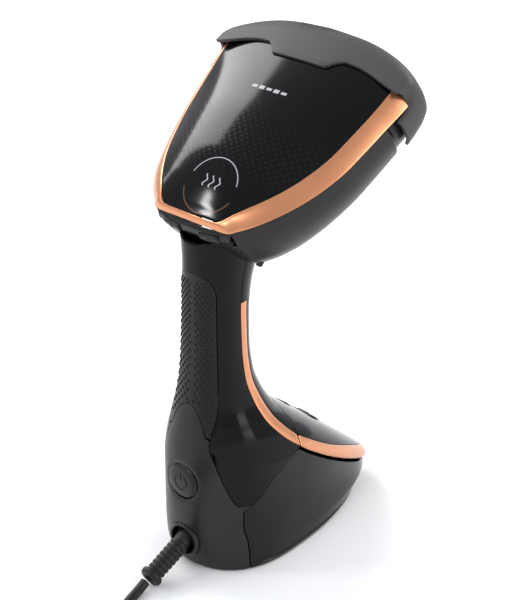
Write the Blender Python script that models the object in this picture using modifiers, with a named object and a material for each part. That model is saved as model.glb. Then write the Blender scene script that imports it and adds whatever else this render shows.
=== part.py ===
"""Handheld garment steamer: a leaning steam head on a handle, on a shoe-shaped base with a water tank.

Lengths are millimetres in the tables below and are turned into metres where a mesh is made.
+Z is up, +Y points from the heel to the toe of the base, +X is the user's right.
"""
import math

import bmesh
import bpy
from mathutils import Matrix, Vector

MM = 0.001
GAP = 0.35           # between neighbouring pieces
WALL = 2.2           # moulded covers
HEEL_REAR = -77.2     # rearmost and foremost points, which the frame's origin lies midway between
TOE_FRONT = 82.0

# Level lines of the outer body, from the floor to the neck: height, rear, half width, where it is widest,
# front of the side wall's oval, where the wall meets the copper line, front of the crest.
BODY = (
    (0.0, -70.0, 38.0, -24.0, 66.0, 66.0, 66.0),
    (6.0, -72.4, 38.2, -23.0, 74.0, 74.0, 74.0),
    (12.0, -74.0, 38.4, -22.0, 81.0, 81.0, 82.0),
    (15.0, -74.4, 38.4, -21.5, 80.9, 75.0, 81.6),
    (18.0, -74.8, 38.4, -21.0, 80.6, 68.8, 80.4),
    (24.0, -75.4, 38.4, -20.0, 79.0, 58.0, 74.6),
    (40.0, -76.6, 38.2, -14.0, 70.0, 31.0, 56.0),
    (56.0, -77.0, 37.6, -13.0, 62.0, 6.5, 37.0),
    (69.0, -76.2, 36.8, -20.0, 50.0, -11.0, 21.0),
    (82.0, -74.5, 33.4, -31.0, 30.0, -25.0, 5.0),
    (96.0, -71.8, 28.2, -38.0, 10.0, -35.0, -10.5),
    (110.0, -69.0, 23.4, -42.0, -5.0, -40.0, -19.0),
    (124.0, -66.8, 20.4, -44.0, -12.0, -42.8, -24.0),
    (142.0, -65.4, 18.7, -45.0, -14.0, -43.6, -26.0),
    (160.0, -64.8, 18.0, -45.0, -14.0, -43.6, -25.6),
    (178.0, -64.4, 17.6, -44.0, -12.0, -42.6, -22.6),
    (195.0, -64.4, 18.0, -41.0, -6.0, -39.6, -15.6),
    (226.0, -66.0, 21.0, -36.0, 8.0, -34.0, 2.0),
)
HEIGHT, REAR, WIDE, WIDEST, OVAL, EDGE, CREST = range(7)
HEEL_POWER = 2.3     # roundness of the level lines behind the widest point
WALL_POWER = 2.2     # and in front of it
TOE_HEIGHT = 12.0

# Copper line: height, width along the level line.
STRIP = ((20.0, 27.0), (24.0, 19.0), (40.0, 17.0), (57.0, 12.8), (69.0, 10.7), (79.0, 8.6),
         (105.0, 7.8), (118.0, 6.7), (140.0, 6.0), (172.0, 6.0))
STRIP_TOP = 171.0
# Back edge of the tank: height, y. It follows the lower right side of the glossy V.
TANK_BACK = ((0.0, -52.0), (21.0, -54.0), (31.0, -56.0), (42.0, -55.6), (45.0, -50.5), (51.0, -43.5),
             (57.5, -36.5), (62.0, -29.0), (67.0, -20.0), (70.0, -13.0))
V_TIP = 45.6
SEAM_Y = -12.0       # tank cover meets the handle here
SEAM_TOP = 94.0
RIM_DROP = 2.5       # the tank's wall ends this far below the copper line
SEAM = 0.3           # each side of a seam between two covers
# Heights of the rows of points; neighbours share them, so that their edges run side by side.
HANDLE_ROWS = (46.6, 51.4, 57.2, 63.4, 69.8, 70.4, 74.0, 79.0, 84.5, 90.6, 91.4, 95.4, 95.9, 101.0, 106.0,
               111.2, 119.0, 128.0, 138.0, 148.0, 158.0, 167.5, 170.6, 171.3, 178.0, 185.0, 187.0, 189.2,
               191.4, 192.8, 200.0, 208.0, 216.0)
TANK_ROWS = (0.9, 4.0, 7.0, 9.5, 12.5, 16.5, 22.0, 26.5, 31.0, 36.5, 42.0, 45.2, 51.4, 57.2, 63.4, 68.6)
RIM_ROWS = (12.6, 15.0, 17.5, 19.9, 20.6, 21.4, 24.0, 28.0, 34.0, 40.0, 46.0, 52.0, 58.0, 64.0, 69.6, 72.0,
            74.0, 76.0, 79.0, 84.0, 88.6, 93.0)
# Outer edge of the rear shell and grip, as a share of the way from the spine to the widest point.
SPINE_EDGE = ((45.6, 0.54), (48.0, 0.505), (62.5, 0.417), (77.5, 0.35), (87.0, 0.31), (94.0, 0.35),
              (102.0, 0.43), (115.0, 0.50), (140.0, 0.53), (165.0, 0.53), (180.0, 0.52), (187.0, 0.42),
              (190.6, 0.25), (192.4, 0.0))
TONGUE = ((92.0, 0.27), (100.0, 0.22), (107.0, 0.13), (111.0, 0.0))
GRIP_TOP = 192.4

# Head frame: origin at the control bar, local +Y up the head, local +Z out of the back cover.
HEAD_AT = (0.0, -64.0, 222.0)
HEAD_LEAN = 36.0
# Outer edge of the head trim, right half: x, along the head, height over the head's mid plane.
TRIM_OUTER = ((70.5, 120.4, -12.2), (69.6, 110.0, -11.6), (67.6, 97.0, -10.8), (65.0, 78.0, -9.6),
              (62.0, 61.0, -8.6), (57.3, 45.0, -6.6), (52.0, 32.0, -4.2), (46.0, 21.0, -1.8),
              (38.6, 11.4, -0.2), (31.6, 4.8, 0.8), (27.6, 1.4, 1.6), (20.0, 0.4, 2.6), (0.0, 0.0, 3.6))
TRIM_INNER = ((61.4, 120.4, -3.2), (61.0, 110.0, -3.1), (59.6, 97.5, -2.8), (57.0, 79.5, -2.0),
              (54.2, 63.5, -1.0), (49.6, 48.5, 0.8), (44.8, 36.8, 2.8), (39.0, 26.6, 4.6),
              (32.4, 17.4, 6.0), (27.0, 10.6, 6.6), (22.8, 5.2, 6.4), (17.6, 3.2, 6.2), (0.0, 2.8, 6.8))
CROWN = ((0.0, 6.4), (12.0, 9.2), (25.0, 11.6), (45.0, 13.4), (65.0, 12.6), (88.0, 9.6), (110.0, 6.2),
         (126.0, 3.6))
# Top end of the head, right half, from the side round to the middle: x, along.
HEAD_TOP = ((70.6, 121.0), (68.4, 127.0), (61.5, 132.4), (48.0, 137.8), (29.0, 141.6), (0.0, 143.0))
SHELL_LEVELS = ((0.0, 0.0), (0.8, 0.30), (-0.2, 0.55), (-3.2, 0.80), (-7.8, 1.0))  # outset, share of depth
PLATE_DEPTH = -40.0
PLATE_OUTLINE = ((0.0, 130.0), (27.0, 128.6), (42.5, 124.0), (51.0, 115.6), (53.4, 104.0), (51.4, 86.0),
                 (47.6, 66.0), (40.6, 48.0), (29.0, 34.0), (15.0, 28.0), (0.0, 26.5))
TRIM_WALL = 1.8
GUARD_PROUD = 3.0
GUARD_WALL = 2.4
GUARD_SIDE = 104.0   # the guard wraps the head's sides down to here
GUARD_EDGE = 121.8   # and meets the cover here

BUTTON_Z = 60.0
BUTTON_RADIUS = 11.0
DISH_RADIUS = 14.2
CORD_RADIUS = 3.0
CORD_EXIT_Z = 19.0
CORD_DROOP = 23.0                  # the strain relief leans down from level
TRIGGER_PIVOT = (-31.8, 183.5)     # y, z
LOCK_AT = (0.0, -15.8, 193.6)
LOCK_LEAN = 24.0
RELEASE_AT = (0.0, -29.0, -1.9)    # on the cover's crest, from the fill cap
PUMP_AT = (0.0, -50.0)
VALVE_X = -15.0
VALVE_Z = 15.0
BOARD_Y = -56.5

COIL_RADIUS = 36.0                 # middle of the turns
COIL_ACROSS = 4                    # turns side by side
COIL_HIGH = 3                      # turns on top of each other
COIL_AT = (14.0, -228.0)
COIL_TIE_ANGLE = 205.0
PLUG_AT = (82.0, -207.0, 19.0)

# Free cord from the end of the strain relief to the coil, chosen by hand.
CORD_ROUTE = (
    (0.0, -108.5, 5.6), (0.6, -114.0, 3.6), (2.6, -122.0, 3.0), (5.8, -132.0, 3.0), (7.8, -143.0, 3.0),
    (6.6, -154.5, 3.0), (1.6, -165.5, 3.0), (-7.0, -175.5, 3.0), (-17.0, -184.5, 3.0), (-26.4, -194.0, 3.0),
    (-33.2, -205.0, 3.0), (-36.8, -217.0, 3.0),
)
# From the coil to the plug.
LEAD_ROUTE = (
    (20.4, -280.0, 3.0), (32.6, -281.6, 3.0), (46.0, -281.0, 3.6), (59.6, -277.0, 5.8), (71.0, -269.4, 9.8),
    (79.0, -259.0, 14.8), (82.0, -249.5, 18.4), (82.0, -245.5, 19.0),
)

palette = {}


def clear_scene():
    for obj in list(bpy.data.objects):
        bpy.data.objects.remove(obj, do_unlink=True)


def material(name, colour, roughness, metallic=0.0):
    if name not in palette:
        made = bpy.data.materials.new(name)
        made.use_nodes = True
        shader = made.node_tree.nodes["Principled BSDF"]
        shader.inputs["Base Color"].default_value = (*colour, 1.0)
        shader.inputs["Roughness"].default_value = roughness
        shader.inputs["Metallic"].default_value = metallic
        palette[name] = made
    return palette[name]


def gloss_black():
    return material("gloss_black", (0.012, 0.013, 0.015), 0.12)


def satin_black():
    return material("satin_black", (0.020, 0.020, 0.021), 0.42)


def guard_grey():
    return material("guard_grey", (0.065, 0.065, 0.067), 0.62)


def copper():
    return material("copper", (0.62, 0.27, 0.13), 0.28, 0.9)


def grip_black():
    return material("grip_black", (0.010, 0.010, 0.010), 0.55)


def smoke():
    return material("smoked_tank", (0.020, 0.021, 0.024), 0.10)


def steel():
    return material("steel", (0.55, 0.55, 0.56), 0.30, 1.0)


def aluminium():
    return material("aluminium", (0.62, 0.63, 0.65), 0.38, 1.0)


def ceramic_plate():
    return material("plate_coating", (0.30, 0.31, 0.33), 0.25, 0.6)


def silicone():
    return material("silicone", (0.55, 0.54, 0.52), 0.55)


def rubber():
    return material("rubber", (0.022, 0.022, 0.022), 0.75)


def white_plastic():
    return material("white_plastic", (0.62, 0.62, 0.60), 0.45)


def brass():
    return material("brass", (0.60, 0.42, 0.16), 0.35, 1.0)


def board_green():
    return material("board_green", (0.02, 0.12, 0.05), 0.45)


def winding():
    return material("winding", (0.45, 0.16, 0.06), 0.4, 0.6)


def cord_black():
    return material("cord_black", (0.016, 0.016, 0.016), 0.55)


# ---------------------------------------------------------------- curves and tables

def smooth(table, at, column=1):
    """Value of a table's column at a height, on a curve through the rows that never overshoots."""
    if at <= table[0][0]:
        return table[0][column]
    if at >= table[-1][0]:
        return table[-1][column]
    i = max(k for k in range(len(table) - 1) if table[k][0] <= at)

    def slope(k):
        return (table[k + 1][column] - table[k][column]) / (table[k + 1][0] - table[k][0])

    def tangent(k):
        if k == 0 or k == len(table) - 1:
            return slope(min(k, len(table) - 2))
        before, after = slope(k - 1), slope(k)
        return 0.0 if before * after <= 0 else 2 * before * after / (before + after)

    width = table[i + 1][0] - table[i][0]
    t = (at - table[i][0]) / width
    start, end = table[i][column], table[i + 1][column]
    return ((1 + 2 * t) * (1 - t) ** 2 * start + t * (1 - t) ** 2 * width * tangent(i)
            + t * t * (3 - 2 * t) * end + t * t * (t - 1) * width * tangent(i + 1))


def spline(points, steps):
    """Points of a smooth curve through the given points, with so many steps between neighbours."""
    line = [Vector(p) for p in points]
    ends = [2 * line[0] - line[1], *line, 2 * line[-1] - line[-2]]
    made = []
    for i in range(1, len(ends) - 2):
        a, b, c, d = ends[i - 1:i + 3]
        for k in range(steps):
            t = k / steps
            made.append(0.5 * (2 * b + (c - a) * t + (2 * a - 5 * b + 4 * c - d) * t * t
                               + (3 * b - a - 3 * c + d) * t ** 3))
    return [*made, line[-1]]


def lerp(a, b, t):
    return a + (b - a) * t


# ---------------------------------------------------------------- the outer body's surface

def level(z, column):
    return smooth(BODY, z, column)


def wall_x(z, y):
    """Half width of the side wall in front of the widest point."""
    reach = (y - level(z, WIDEST)) / (level(z, OVAL) - level(z, WIDEST))
    return level(z, WIDE) * max(0.0, 1 - max(0.0, reach) ** WALL_POWER) ** (1 / WALL_POWER)


def body_point(z, u):
    """Right half of a level line: 0 the spine, 1 the widest point, 2 the copper line, 3 the crest."""
    rear, wide, widest = level(z, REAR), level(z, WIDE), level(z, WIDEST)
    edge = level(z, EDGE)
    if u <= 1:
        a = u * math.pi / 2
        x = wide * math.sin(a) ** (2 / HEEL_POWER)
        y = widest - (widest - rear) * max(0.0, math.cos(a)) ** (2 / HEEL_POWER)
    elif u <= 2:
        y = lerp(widest, edge, 1 - (2 - u) ** 1.6)
        x = wall_x(z, y)
    else:
        a = (u - 2) * math.pi / 2
        x = wall_x(z, edge) * max(0.0, math.cos(a))
        y = lerp(edge, level(z, CREST), math.sin(a))
    if x < 1e-6:
        x = 0.0
    return Vector((x, y, z))


def way_to(z, y, low=0.0, high=3.0):
    """How far round the level line its y is reached."""
    for _ in range(40):
        mid = (low + high) / 2
        low, high = (mid, high) if body_point(z, mid).y < y else (low, mid)
    return low


def way_along(z, start, distance):
    """How far round the level line lies a distance past a start."""
    u, left, here = start, distance, body_point(z, start)
    while left > 0 and u < 3:
        step = body_point(z, min(3.0, u + 0.01))
        length = (step - here).length
        u += 0.01 * min(1.0, left / length)
        left, here = left - length, step
    return min(3.0, u)


def strip_inner(z):
    if z <= TOE_HEIGHT + 8:
        return 3.0
    return way_along(z, 2.0, smooth(STRIP, z))


def body_normal(z, u):
    """Outward direction; across the copper line it lies midway between the two faces."""
    up = body_point(z + 1.5, u) - body_point(z - 1.5, u)
    if body_point(z, u).x == 0.0:
        return Vector((0.0, up.z, -up.y)).normalized() * (1 if u > 1.5 else -1)
    around = body_point(z, min(3.0, u + 0.02)) - body_point(z, max(0.0, u - 0.02))
    return around.cross(up).normalized()


def heights_between(low, high, step):
    count = max(1, round((high - low) / step))
    return [lerp(low, high, k / count) for k in range(count + 1)]


# ---------------------------------------------------------------- object helpers

parts = cutters = None


def add_empty(name, at=(0, 0, 0), turn=0.0, parent=None):
    empty = bpy.data.objects.new(name, None)
    empty.location = Vector(at) * MM
    empty.rotation_euler = (math.radians(turn), 0, 0)
    empty.parent = parent
    parts.objects.link(empty)
    return empty


def add_mesh(name, bm, finish, parent, origin=(0, 0, 0), smooth_angle=35.0):
    """Object from a bmesh in millimetres, with its origin at a point of the parent's frame."""
    shift = Matrix.Translation(-Vector(origin))
    bmesh.ops.transform(bm, matrix=Matrix.Scale(MM, 4) @ shift, verts=bm.verts)
    mesh = bpy.data.meshes.new(name)
    bm.to_mesh(mesh)
    bm.free()
    mesh.shade_smooth()
    mesh.set_sharp_from_angle(angle=math.radians(smooth_angle))
    obj = bpy.data.objects.new(name, mesh)
    if finish:
        obj.data.materials.append(finish)
    obj.location = Vector(origin) * MM
    obj.parent = parent
    (parts if finish else cutters).objects.link(obj)
    if not finish:
        obj.hide_render = True
        obj.display_type = "WIRE"
    return obj


def skin(rows, flip=False, close=False):
    """Open surface through rows of points, as a loft between unlike sections."""
    bm = bmesh.new()
    grid = [[bm.verts.new(p) for p in row] for row in rows]
    for upper, lower in zip(grid, grid[1:]):
        count = len(upper) if close else len(upper) - 1
        for k in range(count):
            quad = [upper[k], upper[(k + 1) % len(upper)], lower[(k + 1) % len(upper)], lower[k]]
            bm.faces.new(quad[::-1] if flip else quad)
    bmesh.ops.remove_doubles(bm, verts=bm.verts, dist=0.01)
    return bm


def closed_sections(loops):
    """Solid through closed section loops, open where it meets the plane x = 0."""
    bm = skin(loops, close=True)
    for loop in (loops[0], loops[-1]):
        corners = []
        for p in loop:
            near = min(bm.verts, key=lambda v: (v.co - p).length)
            if near not in corners:
                corners.append(near)
        bm.faces.new(corners)
    inner = [f for f in bm.faces if all(abs(v.co.x) < 1e-4 for v in f.verts)]
    bmesh.ops.delete(bm, geom=inner, context="FACES")
    return bm


def body_shell(heights, start, end, columns, wall=WALL, flat_below=0.0):
    """Half of a cover between two edges of the body's surface, each a function of the height.

    Below flat_below its end face lies across the body, so that the tank can slide past it.
    """
    loops = []
    for z in heights:
        ways = [lerp(start(z), end(z), k / columns) for k in range(columns + 1)]
        outer = [body_point(z, u) for u in ways]
        inner = [p - body_normal(z, u) * wall for p, u in zip(outer, ways)]
        if z < flat_below:
            inner[-1] = outer[-1] - Vector((wall, 0, 0))
        loops.append([*outer, *reversed(inner)])
    return closed_sections(loops)


def mirrored(bm):
    """Adds the left half to a right half that is open at x = 0."""
    bmesh.ops.mirror(bm, geom=bm.verts[:] + bm.edges[:] + bm.faces[:], axis="X", merge_dist=0.02)
    bmesh.ops.recalc_face_normals(bm, faces=bm.faces)
    return bm


def facing(bm, outside):
    """Turns the faces of an open surface so that the one nearest a point outside faces it."""
    bmesh.ops.recalc_face_normals(bm, faces=bm.faces)
    away = Vector(outside)
    near = min(bm.faces, key=lambda f: (f.calc_center_median() - away).length)
    if near.normal.dot(away - near.calc_center_median()) < 0:
        bmesh.ops.reverse_faces(bm, faces=bm.faces)
    return bm


def thicken(obj, wall=WALL, even=True):
    solid = obj.modifiers.new("wall", "SOLIDIFY")
    solid.thickness = wall * MM
    solid.offset = -1
    solid.use_even_offset = even
    return obj


def cut(obj, cutter):
    boolean = obj.modifiers.new("cut", "BOOLEAN")
    boolean.object = cutter
    return obj


def box(name, size, centre, finish, parent, bevel=0.0, turn=0.0, origin=None):
    bm = bmesh.new()
    bmesh.ops.create_cube(bm, size=1.0)
    place = Matrix.Translation(Vector(centre)) @ Matrix.Rotation(math.radians(turn), 4, "X")
    bmesh.ops.transform(bm, matrix=place @ Matrix.Diagonal((*size, 1)), verts=bm.verts)
    if bevel:
        bmesh.ops.bevel(bm, geom=bm.edges[:], offset=bevel, segments=1, affect="EDGES", profile=0.5)
    return add_mesh(name, bm, finish, parent, centre if origin is None else origin)


def rod(name, start, end, radius, finish, parent, sides=20, end_radius=None, origin=None):
    """Cylinder or cone between two points."""
    a, b = Vector(start), Vector(end)
    bm = bmesh.new()
    bmesh.ops.create_cone(bm, cap_ends=True, segments=sides, radius1=radius,
                          radius2=radius if end_radius is None else end_radius, depth=(b - a).length)
    turn = Vector((0, 0, 1)).rotation_difference(b - a).to_matrix().to_4x4()
    bmesh.ops.transform(bm, matrix=Matrix.Translation((a + b) / 2) @ turn, verts=bm.verts)
    return add_mesh(name, bm, finish, parent, start if origin is None else origin)


def turned(name, profile, finish, parent, at=(0, 0, 0), tilt=0.0, steps=24):
    """Closed profile of (radius, height) points, top first down the outside, turned about its own z."""
    bm = bmesh.new()
    ring = [bm.verts.new((r, 0, z)) for r, z in profile]
    closed = profile[0][0] > 0 and profile[-1][0] > 0
    for a, b in zip(ring, ring[1:] + (ring[:1] if closed else [])):
        bm.edges.new((a, b))
    obj = add_mesh(name, bm, finish, parent)
    obj.location = Vector(at) * MM
    obj.rotation_euler = (math.radians(tilt), 0, 0)
    screw = obj.modifiers.new("turn", "SCREW")
    screw.steps = screw.render_steps = steps
    screw.use_merge_vertices = True
    screw.merge_threshold = 0.00001
    screw.use_normal_calculate = False
    return obj


def tube(name, points, radius, finish, parent, resolution=2):
    """Round rod along a line of points."""
    curve = bpy.data.curves.new(name, "CURVE")
    curve.dimensions = "3D"
    curve.bevel_depth = radius * MM
    curve.bevel_resolution = resolution
    curve.render_resolution_u = 0
    curve.use_fill_caps = True
    line = curve.splines.new("POLY")
    line.points.add(len(points) - 1)
    for slot, p in zip(line.points, points):
        slot.co = (*(Vector(p) * MM), 1)
    curve.materials.append(finish)
    obj = bpy.data.objects.new(name, curve)
    obj.parent = parent
    parts.objects.link(obj)
    return obj


def slab(outline, low, high):
    """Prism of a closed outline of (x, y) points between two heights."""
    bm = bmesh.new()
    verts = [bm.verts.new((x, y, low)) for x, y in outline]
    face = bm.faces.new(verts)
    raised = bmesh.ops.extrude_face_region(bm, geom=[face])["geom"]
    lifted = [v for v in raised if isinstance(v, bmesh.types.BMVert)]
    bmesh.ops.translate(bm, verts=lifted, vec=(0, 0, high - low))
    bmesh.ops.recalc_face_normals(bm, faces=bm.faces)
    return bm


# ---------------------------------------------------------------- base and handle covers

def tank_back(z):
    return way_to(z, smooth(TANK_BACK, z))


def inset_way(z, u, distance):
    """A way round the level line moved by a distance, forwards if positive."""
    here = body_point(z, u)
    ahead = body_point(z, u + 0.004)
    return u + distance * 0.004 / max(0.01, (ahead - here).length)


def spine_edge(z):
    return smooth(SPINE_EDGE, z)


def rows_between(table, low, high):
    return [z for z in table if low <= z <= high]


def rear_shell(root):
    def edge(z):
        if z < V_TIP:
            return inset_way(z, tank_back(z), -2 * SEAM)
        if z < 91.0:
            return inset_way(z, spine_edge(z), -SEAM)
        return inset_way(z, smooth(TONGUE, z), -SEAM) if z < 108 else 0.006

    heights = rows_between(TANK_ROWS, 0, V_TIP) + rows_between(HANDLE_ROWS, V_TIP, 106.0) + [109.4]
    bm = body_shell(heights, lambda z: 0.0, edge, 7, flat_below=V_TIP)
    return add_mesh("rear_shell", mirrored(bm), satin_black(), root)


def grip_panel(root):
    def inner(z):
        return inset_way(z, smooth(TONGUE, z), SEAM) if z < 111 else 0.0

    def outer(z):
        return max(0.02, inset_way(z, spine_edge(z), -SEAM))

    heights = [92.2, *rows_between(HANDLE_ROWS, 95, 95.5), *rows_between(HANDLE_ROWS, 100, GRIP_TOP - 1)]
    return add_mesh("grip_panel", mirrored(body_shell(heights, inner, outer, 5)), grip_black(), root)


def handle_shell(root, *cutters_used):
    def inner(z):
        return 0.0 if z > GRIP_TOP else inset_way(z, spine_edge(z), SEAM)

    def outer(z):
        return inset_way(z, tank_back(z), -2 * SEAM) if z < 70.0 else inset_way(z, 2.0, -SEAM)

    bm = body_shell(HANDLE_ROWS, inner, outer, 6, flat_below=70.0)
    shell = add_mesh("handle_shell", mirrored(bm), gloss_black(), root)
    for cutter in cutters_used:
        cut(shell, cutter)
    return shell


def front_cover(root, *cutters_used):
    def outer(z):
        return inset_way(z, 2.0 if z > STRIP_TOP else strip_inner(z), SEAM)

    def inner(z):
        return 3.0 if z > SEAM_TOP + 1.5 else way_to(z, SEAM_Y - SEAM, 2.0)

    heights = rows_between(HANDLE_ROWS, 79, 300)
    cover = add_mesh("front_cover", mirrored(body_shell(heights, outer, inner, 5)), gloss_black(), root)
    for cutter in cutters_used:
        cut(cover, cutter)
    return cover


def handle_trim(root, side):
    """Copper strip down the edge of the handle's front; it ends where the tank's rim begins."""
    def outer(z):
        return inset_way(z, 2.0, SEAM)

    def inner(z):
        edge = inset_way(z, strip_inner(z), -SEAM)
        return min(edge, way_to(z, SEAM_Y - SEAM, 2.0)) if z < 90 else edge

    bm = body_shell([71.6, *rows_between(HANDLE_ROWS, 73, STRIP_TOP)], outer, inner, 3)
    bmesh.ops.scale(bm, vec=(side, 1, 1), verts=bm.verts)
    bmesh.ops.recalc_face_normals(bm, faces=bm.faces)
    return add_mesh("handle_trim_right" if side > 0 else "handle_trim_left", bm, copper(), root)


def tank_shell(tank):
    """Cup of the tank: side walls, back wall and floor, open under the rim and the cover."""
    def back(z):
        return inset_way(z, tank_back(z), SEAM)

    def front(z):
        return way_to(z, level(z + RIM_DROP, EDGE), 1.0, 2.0) if z + RIM_DROP > TOE_HEIGHT else 2.0

    walls = []
    for z in TANK_ROWS:
        ways = [lerp(back(z), front(z), k / 12) for k in range(13)]
        walls.append([body_point(z, u) for u in ways])
    bm = skin(walls)
    rear = [[Vector((row[0].x * share, row[0].y, row[0].z)) for share in (1.0, 0.5, 0.0)] for row in walls]
    floor = [[Vector((p.x * share, p.y, p.z)) for share in (1.0, 0.5, 0.0)] for p in walls[0]]
    for sheet in (rear, floor):
        mesh = bpy.data.meshes.new("sheet")
        extra = skin(sheet)
        extra.to_mesh(mesh)
        extra.free()
        bm.from_mesh(mesh)
        bpy.data.meshes.remove(mesh)
    bmesh.ops.remove_doubles(bm, verts=bm.verts, dist=0.05)
    bm = facing(mirrored(bm), (200, 0, 20))
    return thicken(add_mesh("water_tank", bm, smoke(), tank), 1.9)


def tank_rim(tank):
    def outer(z):
        return max(inset_way(z, 2.0, SEAM), way_to(z, SEAM_Y + SEAM, 2.0))

    def inner(z):
        return inset_way(z, strip_inner(z), -SEAM) if z > TOE_HEIGHT + 8 else 3.0

    heights = rows_between(RIM_ROWS, 12, 77)
    return add_mesh("tank_rim", mirrored(body_shell(heights, outer, inner, 4, 1.9)), copper(), tank)


def tank_cover(tank, *cutters_used):
    def outer(z):
        ring = inset_way(z, strip_inner(z), SEAM)
        return max(ring, way_to(z, SEAM_Y + SEAM, 2.0))

    bm = body_shell(rows_between(RIM_ROWS, 21, 94), outer, lambda z: 3.0, 6, 1.9)
    cover = add_mesh("tank_cover", mirrored(bm), gloss_black(), tank)
    for cutter in cutters_used:
        cut(cover, cutter)
    return cover


# ---------------------------------------------------------------- steam head

def head_side(curve, steps=2):
    """Smooth half of a head outline, from the right top end down round the bottom to the middle."""
    return spline(curve, steps)


def head_cover(head):
    rows = []
    for p in head_side(TRIM_INNER)[:-3]:
        half = p.x - GAP
        row = []
        for k in range(-7, 8):
            t = k / 7
            rise = (smooth(CROWN, p.y) - p.z) * (1 - abs(t) ** 2.3)
            row.append(Vector((t * half, p.y + (GAP if p.y < 8 else 0.0), p.z + rise)))
        rows.append(row)
    return thicken(add_mesh("head_cover", facing(skin(rows), (0, 60, 300)), gloss_black(), head))


def sideways(line, i):
    """Direction out of an outline that runs from the right side round the bottom, seen from above."""
    way = (line[min(len(line) - 1, i + 1)] - line[max(0, i - 1)]).to_2d()
    return Vector((-way.y, way.x, 0)).normalized()


def head_trim(head):
    outer, inner = head_side(TRIM_OUTER), head_side(TRIM_INNER)
    loops = []
    for i, (a, b) in enumerate(zip(outer, inner)):
        out = sideways(outer, i)
        if i == len(outer) - 1:
            out = Vector((0, -1, 0))
        middle = (a + b) / 2 + Vector((0, 0, 0.5))
        loops.append([a, middle, b, b - Vector((0, 0, TRIM_WALL)), middle - out * 0.9 - Vector((0, 0, 1.2)),
                      a - out * TRIM_WALL])
    return add_mesh("head_trim", mirrored(closed_sections(loops)), copper(), head)


def head_loop(outset, drop):
    """Outline of the head's side wall, pushed out and lowered towards the plate, tucked in under the guard."""
    side = head_side(TRIM_OUTER)[1:]
    top = [Vector((x, y, -12.2)) for x, y in reversed(HEAD_TOP)]
    half = [*top, *side]
    loop = []
    for i, p in enumerate(half):
        before, after = half[max(0, i - 1)], half[min(len(half) - 1, i + 1)]
        way = (after - before).to_2d()
        out = Vector((-way.y, way.x, 0)).normalized()
        tuck = GUARD_WALL + GAP * min(1.0, max(0.0, p.y - 90.0)) if p.y > GUARD_SIDE - 6 else 0.0
        moved = p + out * (outset - tuck)
        moved.z = lerp(p.z - GAP, PLATE_DEPTH, drop)
        if i in (0, len(half) - 1):
            moved.x = 0.0
        loop.append(moved)
    return loop


def head_wall_rows():
    return [head_loop(outset, drop) for outset, drop in SHELL_LEVELS]


def whole_loop(half):
    return [*half, *(Vector((-p.x, p.y, p.z)) for p in reversed(half[1:-1]))]


def head_shell(head, neck_cutter, bar_cutter):
    rows = [whole_loop(row) for row in head_wall_rows()]
    bm = facing(skin(rows, close=True), (0, 400, -20))
    shell = thicken(add_mesh("head_shell", bm, satin_black(), head))
    cut(shell, bar_cutter)
    return cut(shell, neck_cutter)


def head_hull(head):
    """Solid of the head's outside, a little larger, that trims the handle's covers."""
    rows = [whole_loop(head_loop(outset + 2 * GAP, drop)) for outset, drop in SHELL_LEVELS]
    rows[-1] = [p + Vector((0, 0, -30)) * (p.y > 30) for p in rows[-1]]
    bm = skin(rows, close=True)
    for row in (rows[0], rows[-1]):
        corners = [min(bm.verts, key=lambda v: (v.co - p).length) for p in row]
        bm.faces.new(corners)
    bmesh.ops.recalc_face_normals(bm, faces=bm.faces)
    top = [f for f in bm.faces if len(f.verts) > 8 and f.normal.z > 0.5]
    raised = bmesh.ops.extrude_face_region(bm, geom=top)["geom"]
    bmesh.ops.delete(bm, geom=top, context="FACES_ONLY")
    bmesh.ops.translate(bm, verts=[v for v in raised if isinstance(v, bmesh.types.BMVert)], vec=(0, 0, 20))
    bmesh.ops.recalc_face_normals(bm, faces=bm.faces)
    return add_mesh("head_hull", bm, None, head)


def head_guard(head, slot_cutter):
    """Soft cap over the head's top end that wraps its corners, with a slot."""
    half = spline([(70.9, GUARD_SIDE, 0.0), (71.2, 112.0, 0.0), *((x, y, 0.0) for x, y in HEAD_TOP)], 2)
    loops = []
    for i, p in enumerate(half):
        out = -sideways(half, i) if i < len(half) - 1 else Vector((0, 1, 0))
        side = [p + out * GUARD_PROUD * a + Vector((0, 0, b))
                for a, b in ((0.5, -15.0), (0.5, -21.0), (0.1, -28.0), (-1.2, PLATE_DEPTH + 5.0))]
        inner_side = [q - out * GUARD_WALL for q in side]
        if p.y < 121.5:
            z = -13.2
            top = [p + out * k + Vector((0, 0, z)) for k in (-1.6, -0.4, 0.8)]
            under = [p + out * k + Vector((0, 0, z - 1.6)) for k in (-0.4, -0.9, -1.6)]
        else:
            reach = p.x * 0.985
            rise = smooth(CROWN, GUARD_EDGE) - 7.4 * (p.x / 70.0) ** 2
            edge = Vector((reach, GUARD_EDGE, rise + 0.8))
            brow = Vector((lerp(reach, p.x, 0.6), lerp(GUARD_EDGE, p.y, 0.6), rise - 0.8))
            corner = p + out * 0.8 + Vector((0, 0, rise - 6.0))
            top = [edge, brow, corner]
            under = [corner - out * GUARD_WALL - Vector((0, 0, 1.4)), brow - Vector((0, 0, GUARD_WALL)),
                     edge - Vector((0, 0, GUARD_WALL))]
        loops.append([*top, *side, *reversed(inner_side), *under])
    loops[-1] = [Vector((0.0, q.y, q.z)) for q in loops[-1]]
    guard = add_mesh("head_guard", mirrored(closed_sections(loops)), guard_grey(), head)
    return cut(guard, slot_cutter)


def plate_outline(inset=0.0, steps=2):
    half = spline([(x, y, 0.0) for x, y in PLATE_OUTLINE], steps)
    line = []
    for i, p in enumerate(half):
        way = (half[min(len(half) - 1, i + 1)] - half[max(0, i - 1)]).to_2d().normalized()
        out = Vector((-way.y, way.x))
        line.append((0.0 if i in (0, len(half) - 1) else p.x - out.x * inset, p.y - out.y * inset))
    return [*line, *((-x, y) for x, y in reversed(line[1:-1]))]


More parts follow.
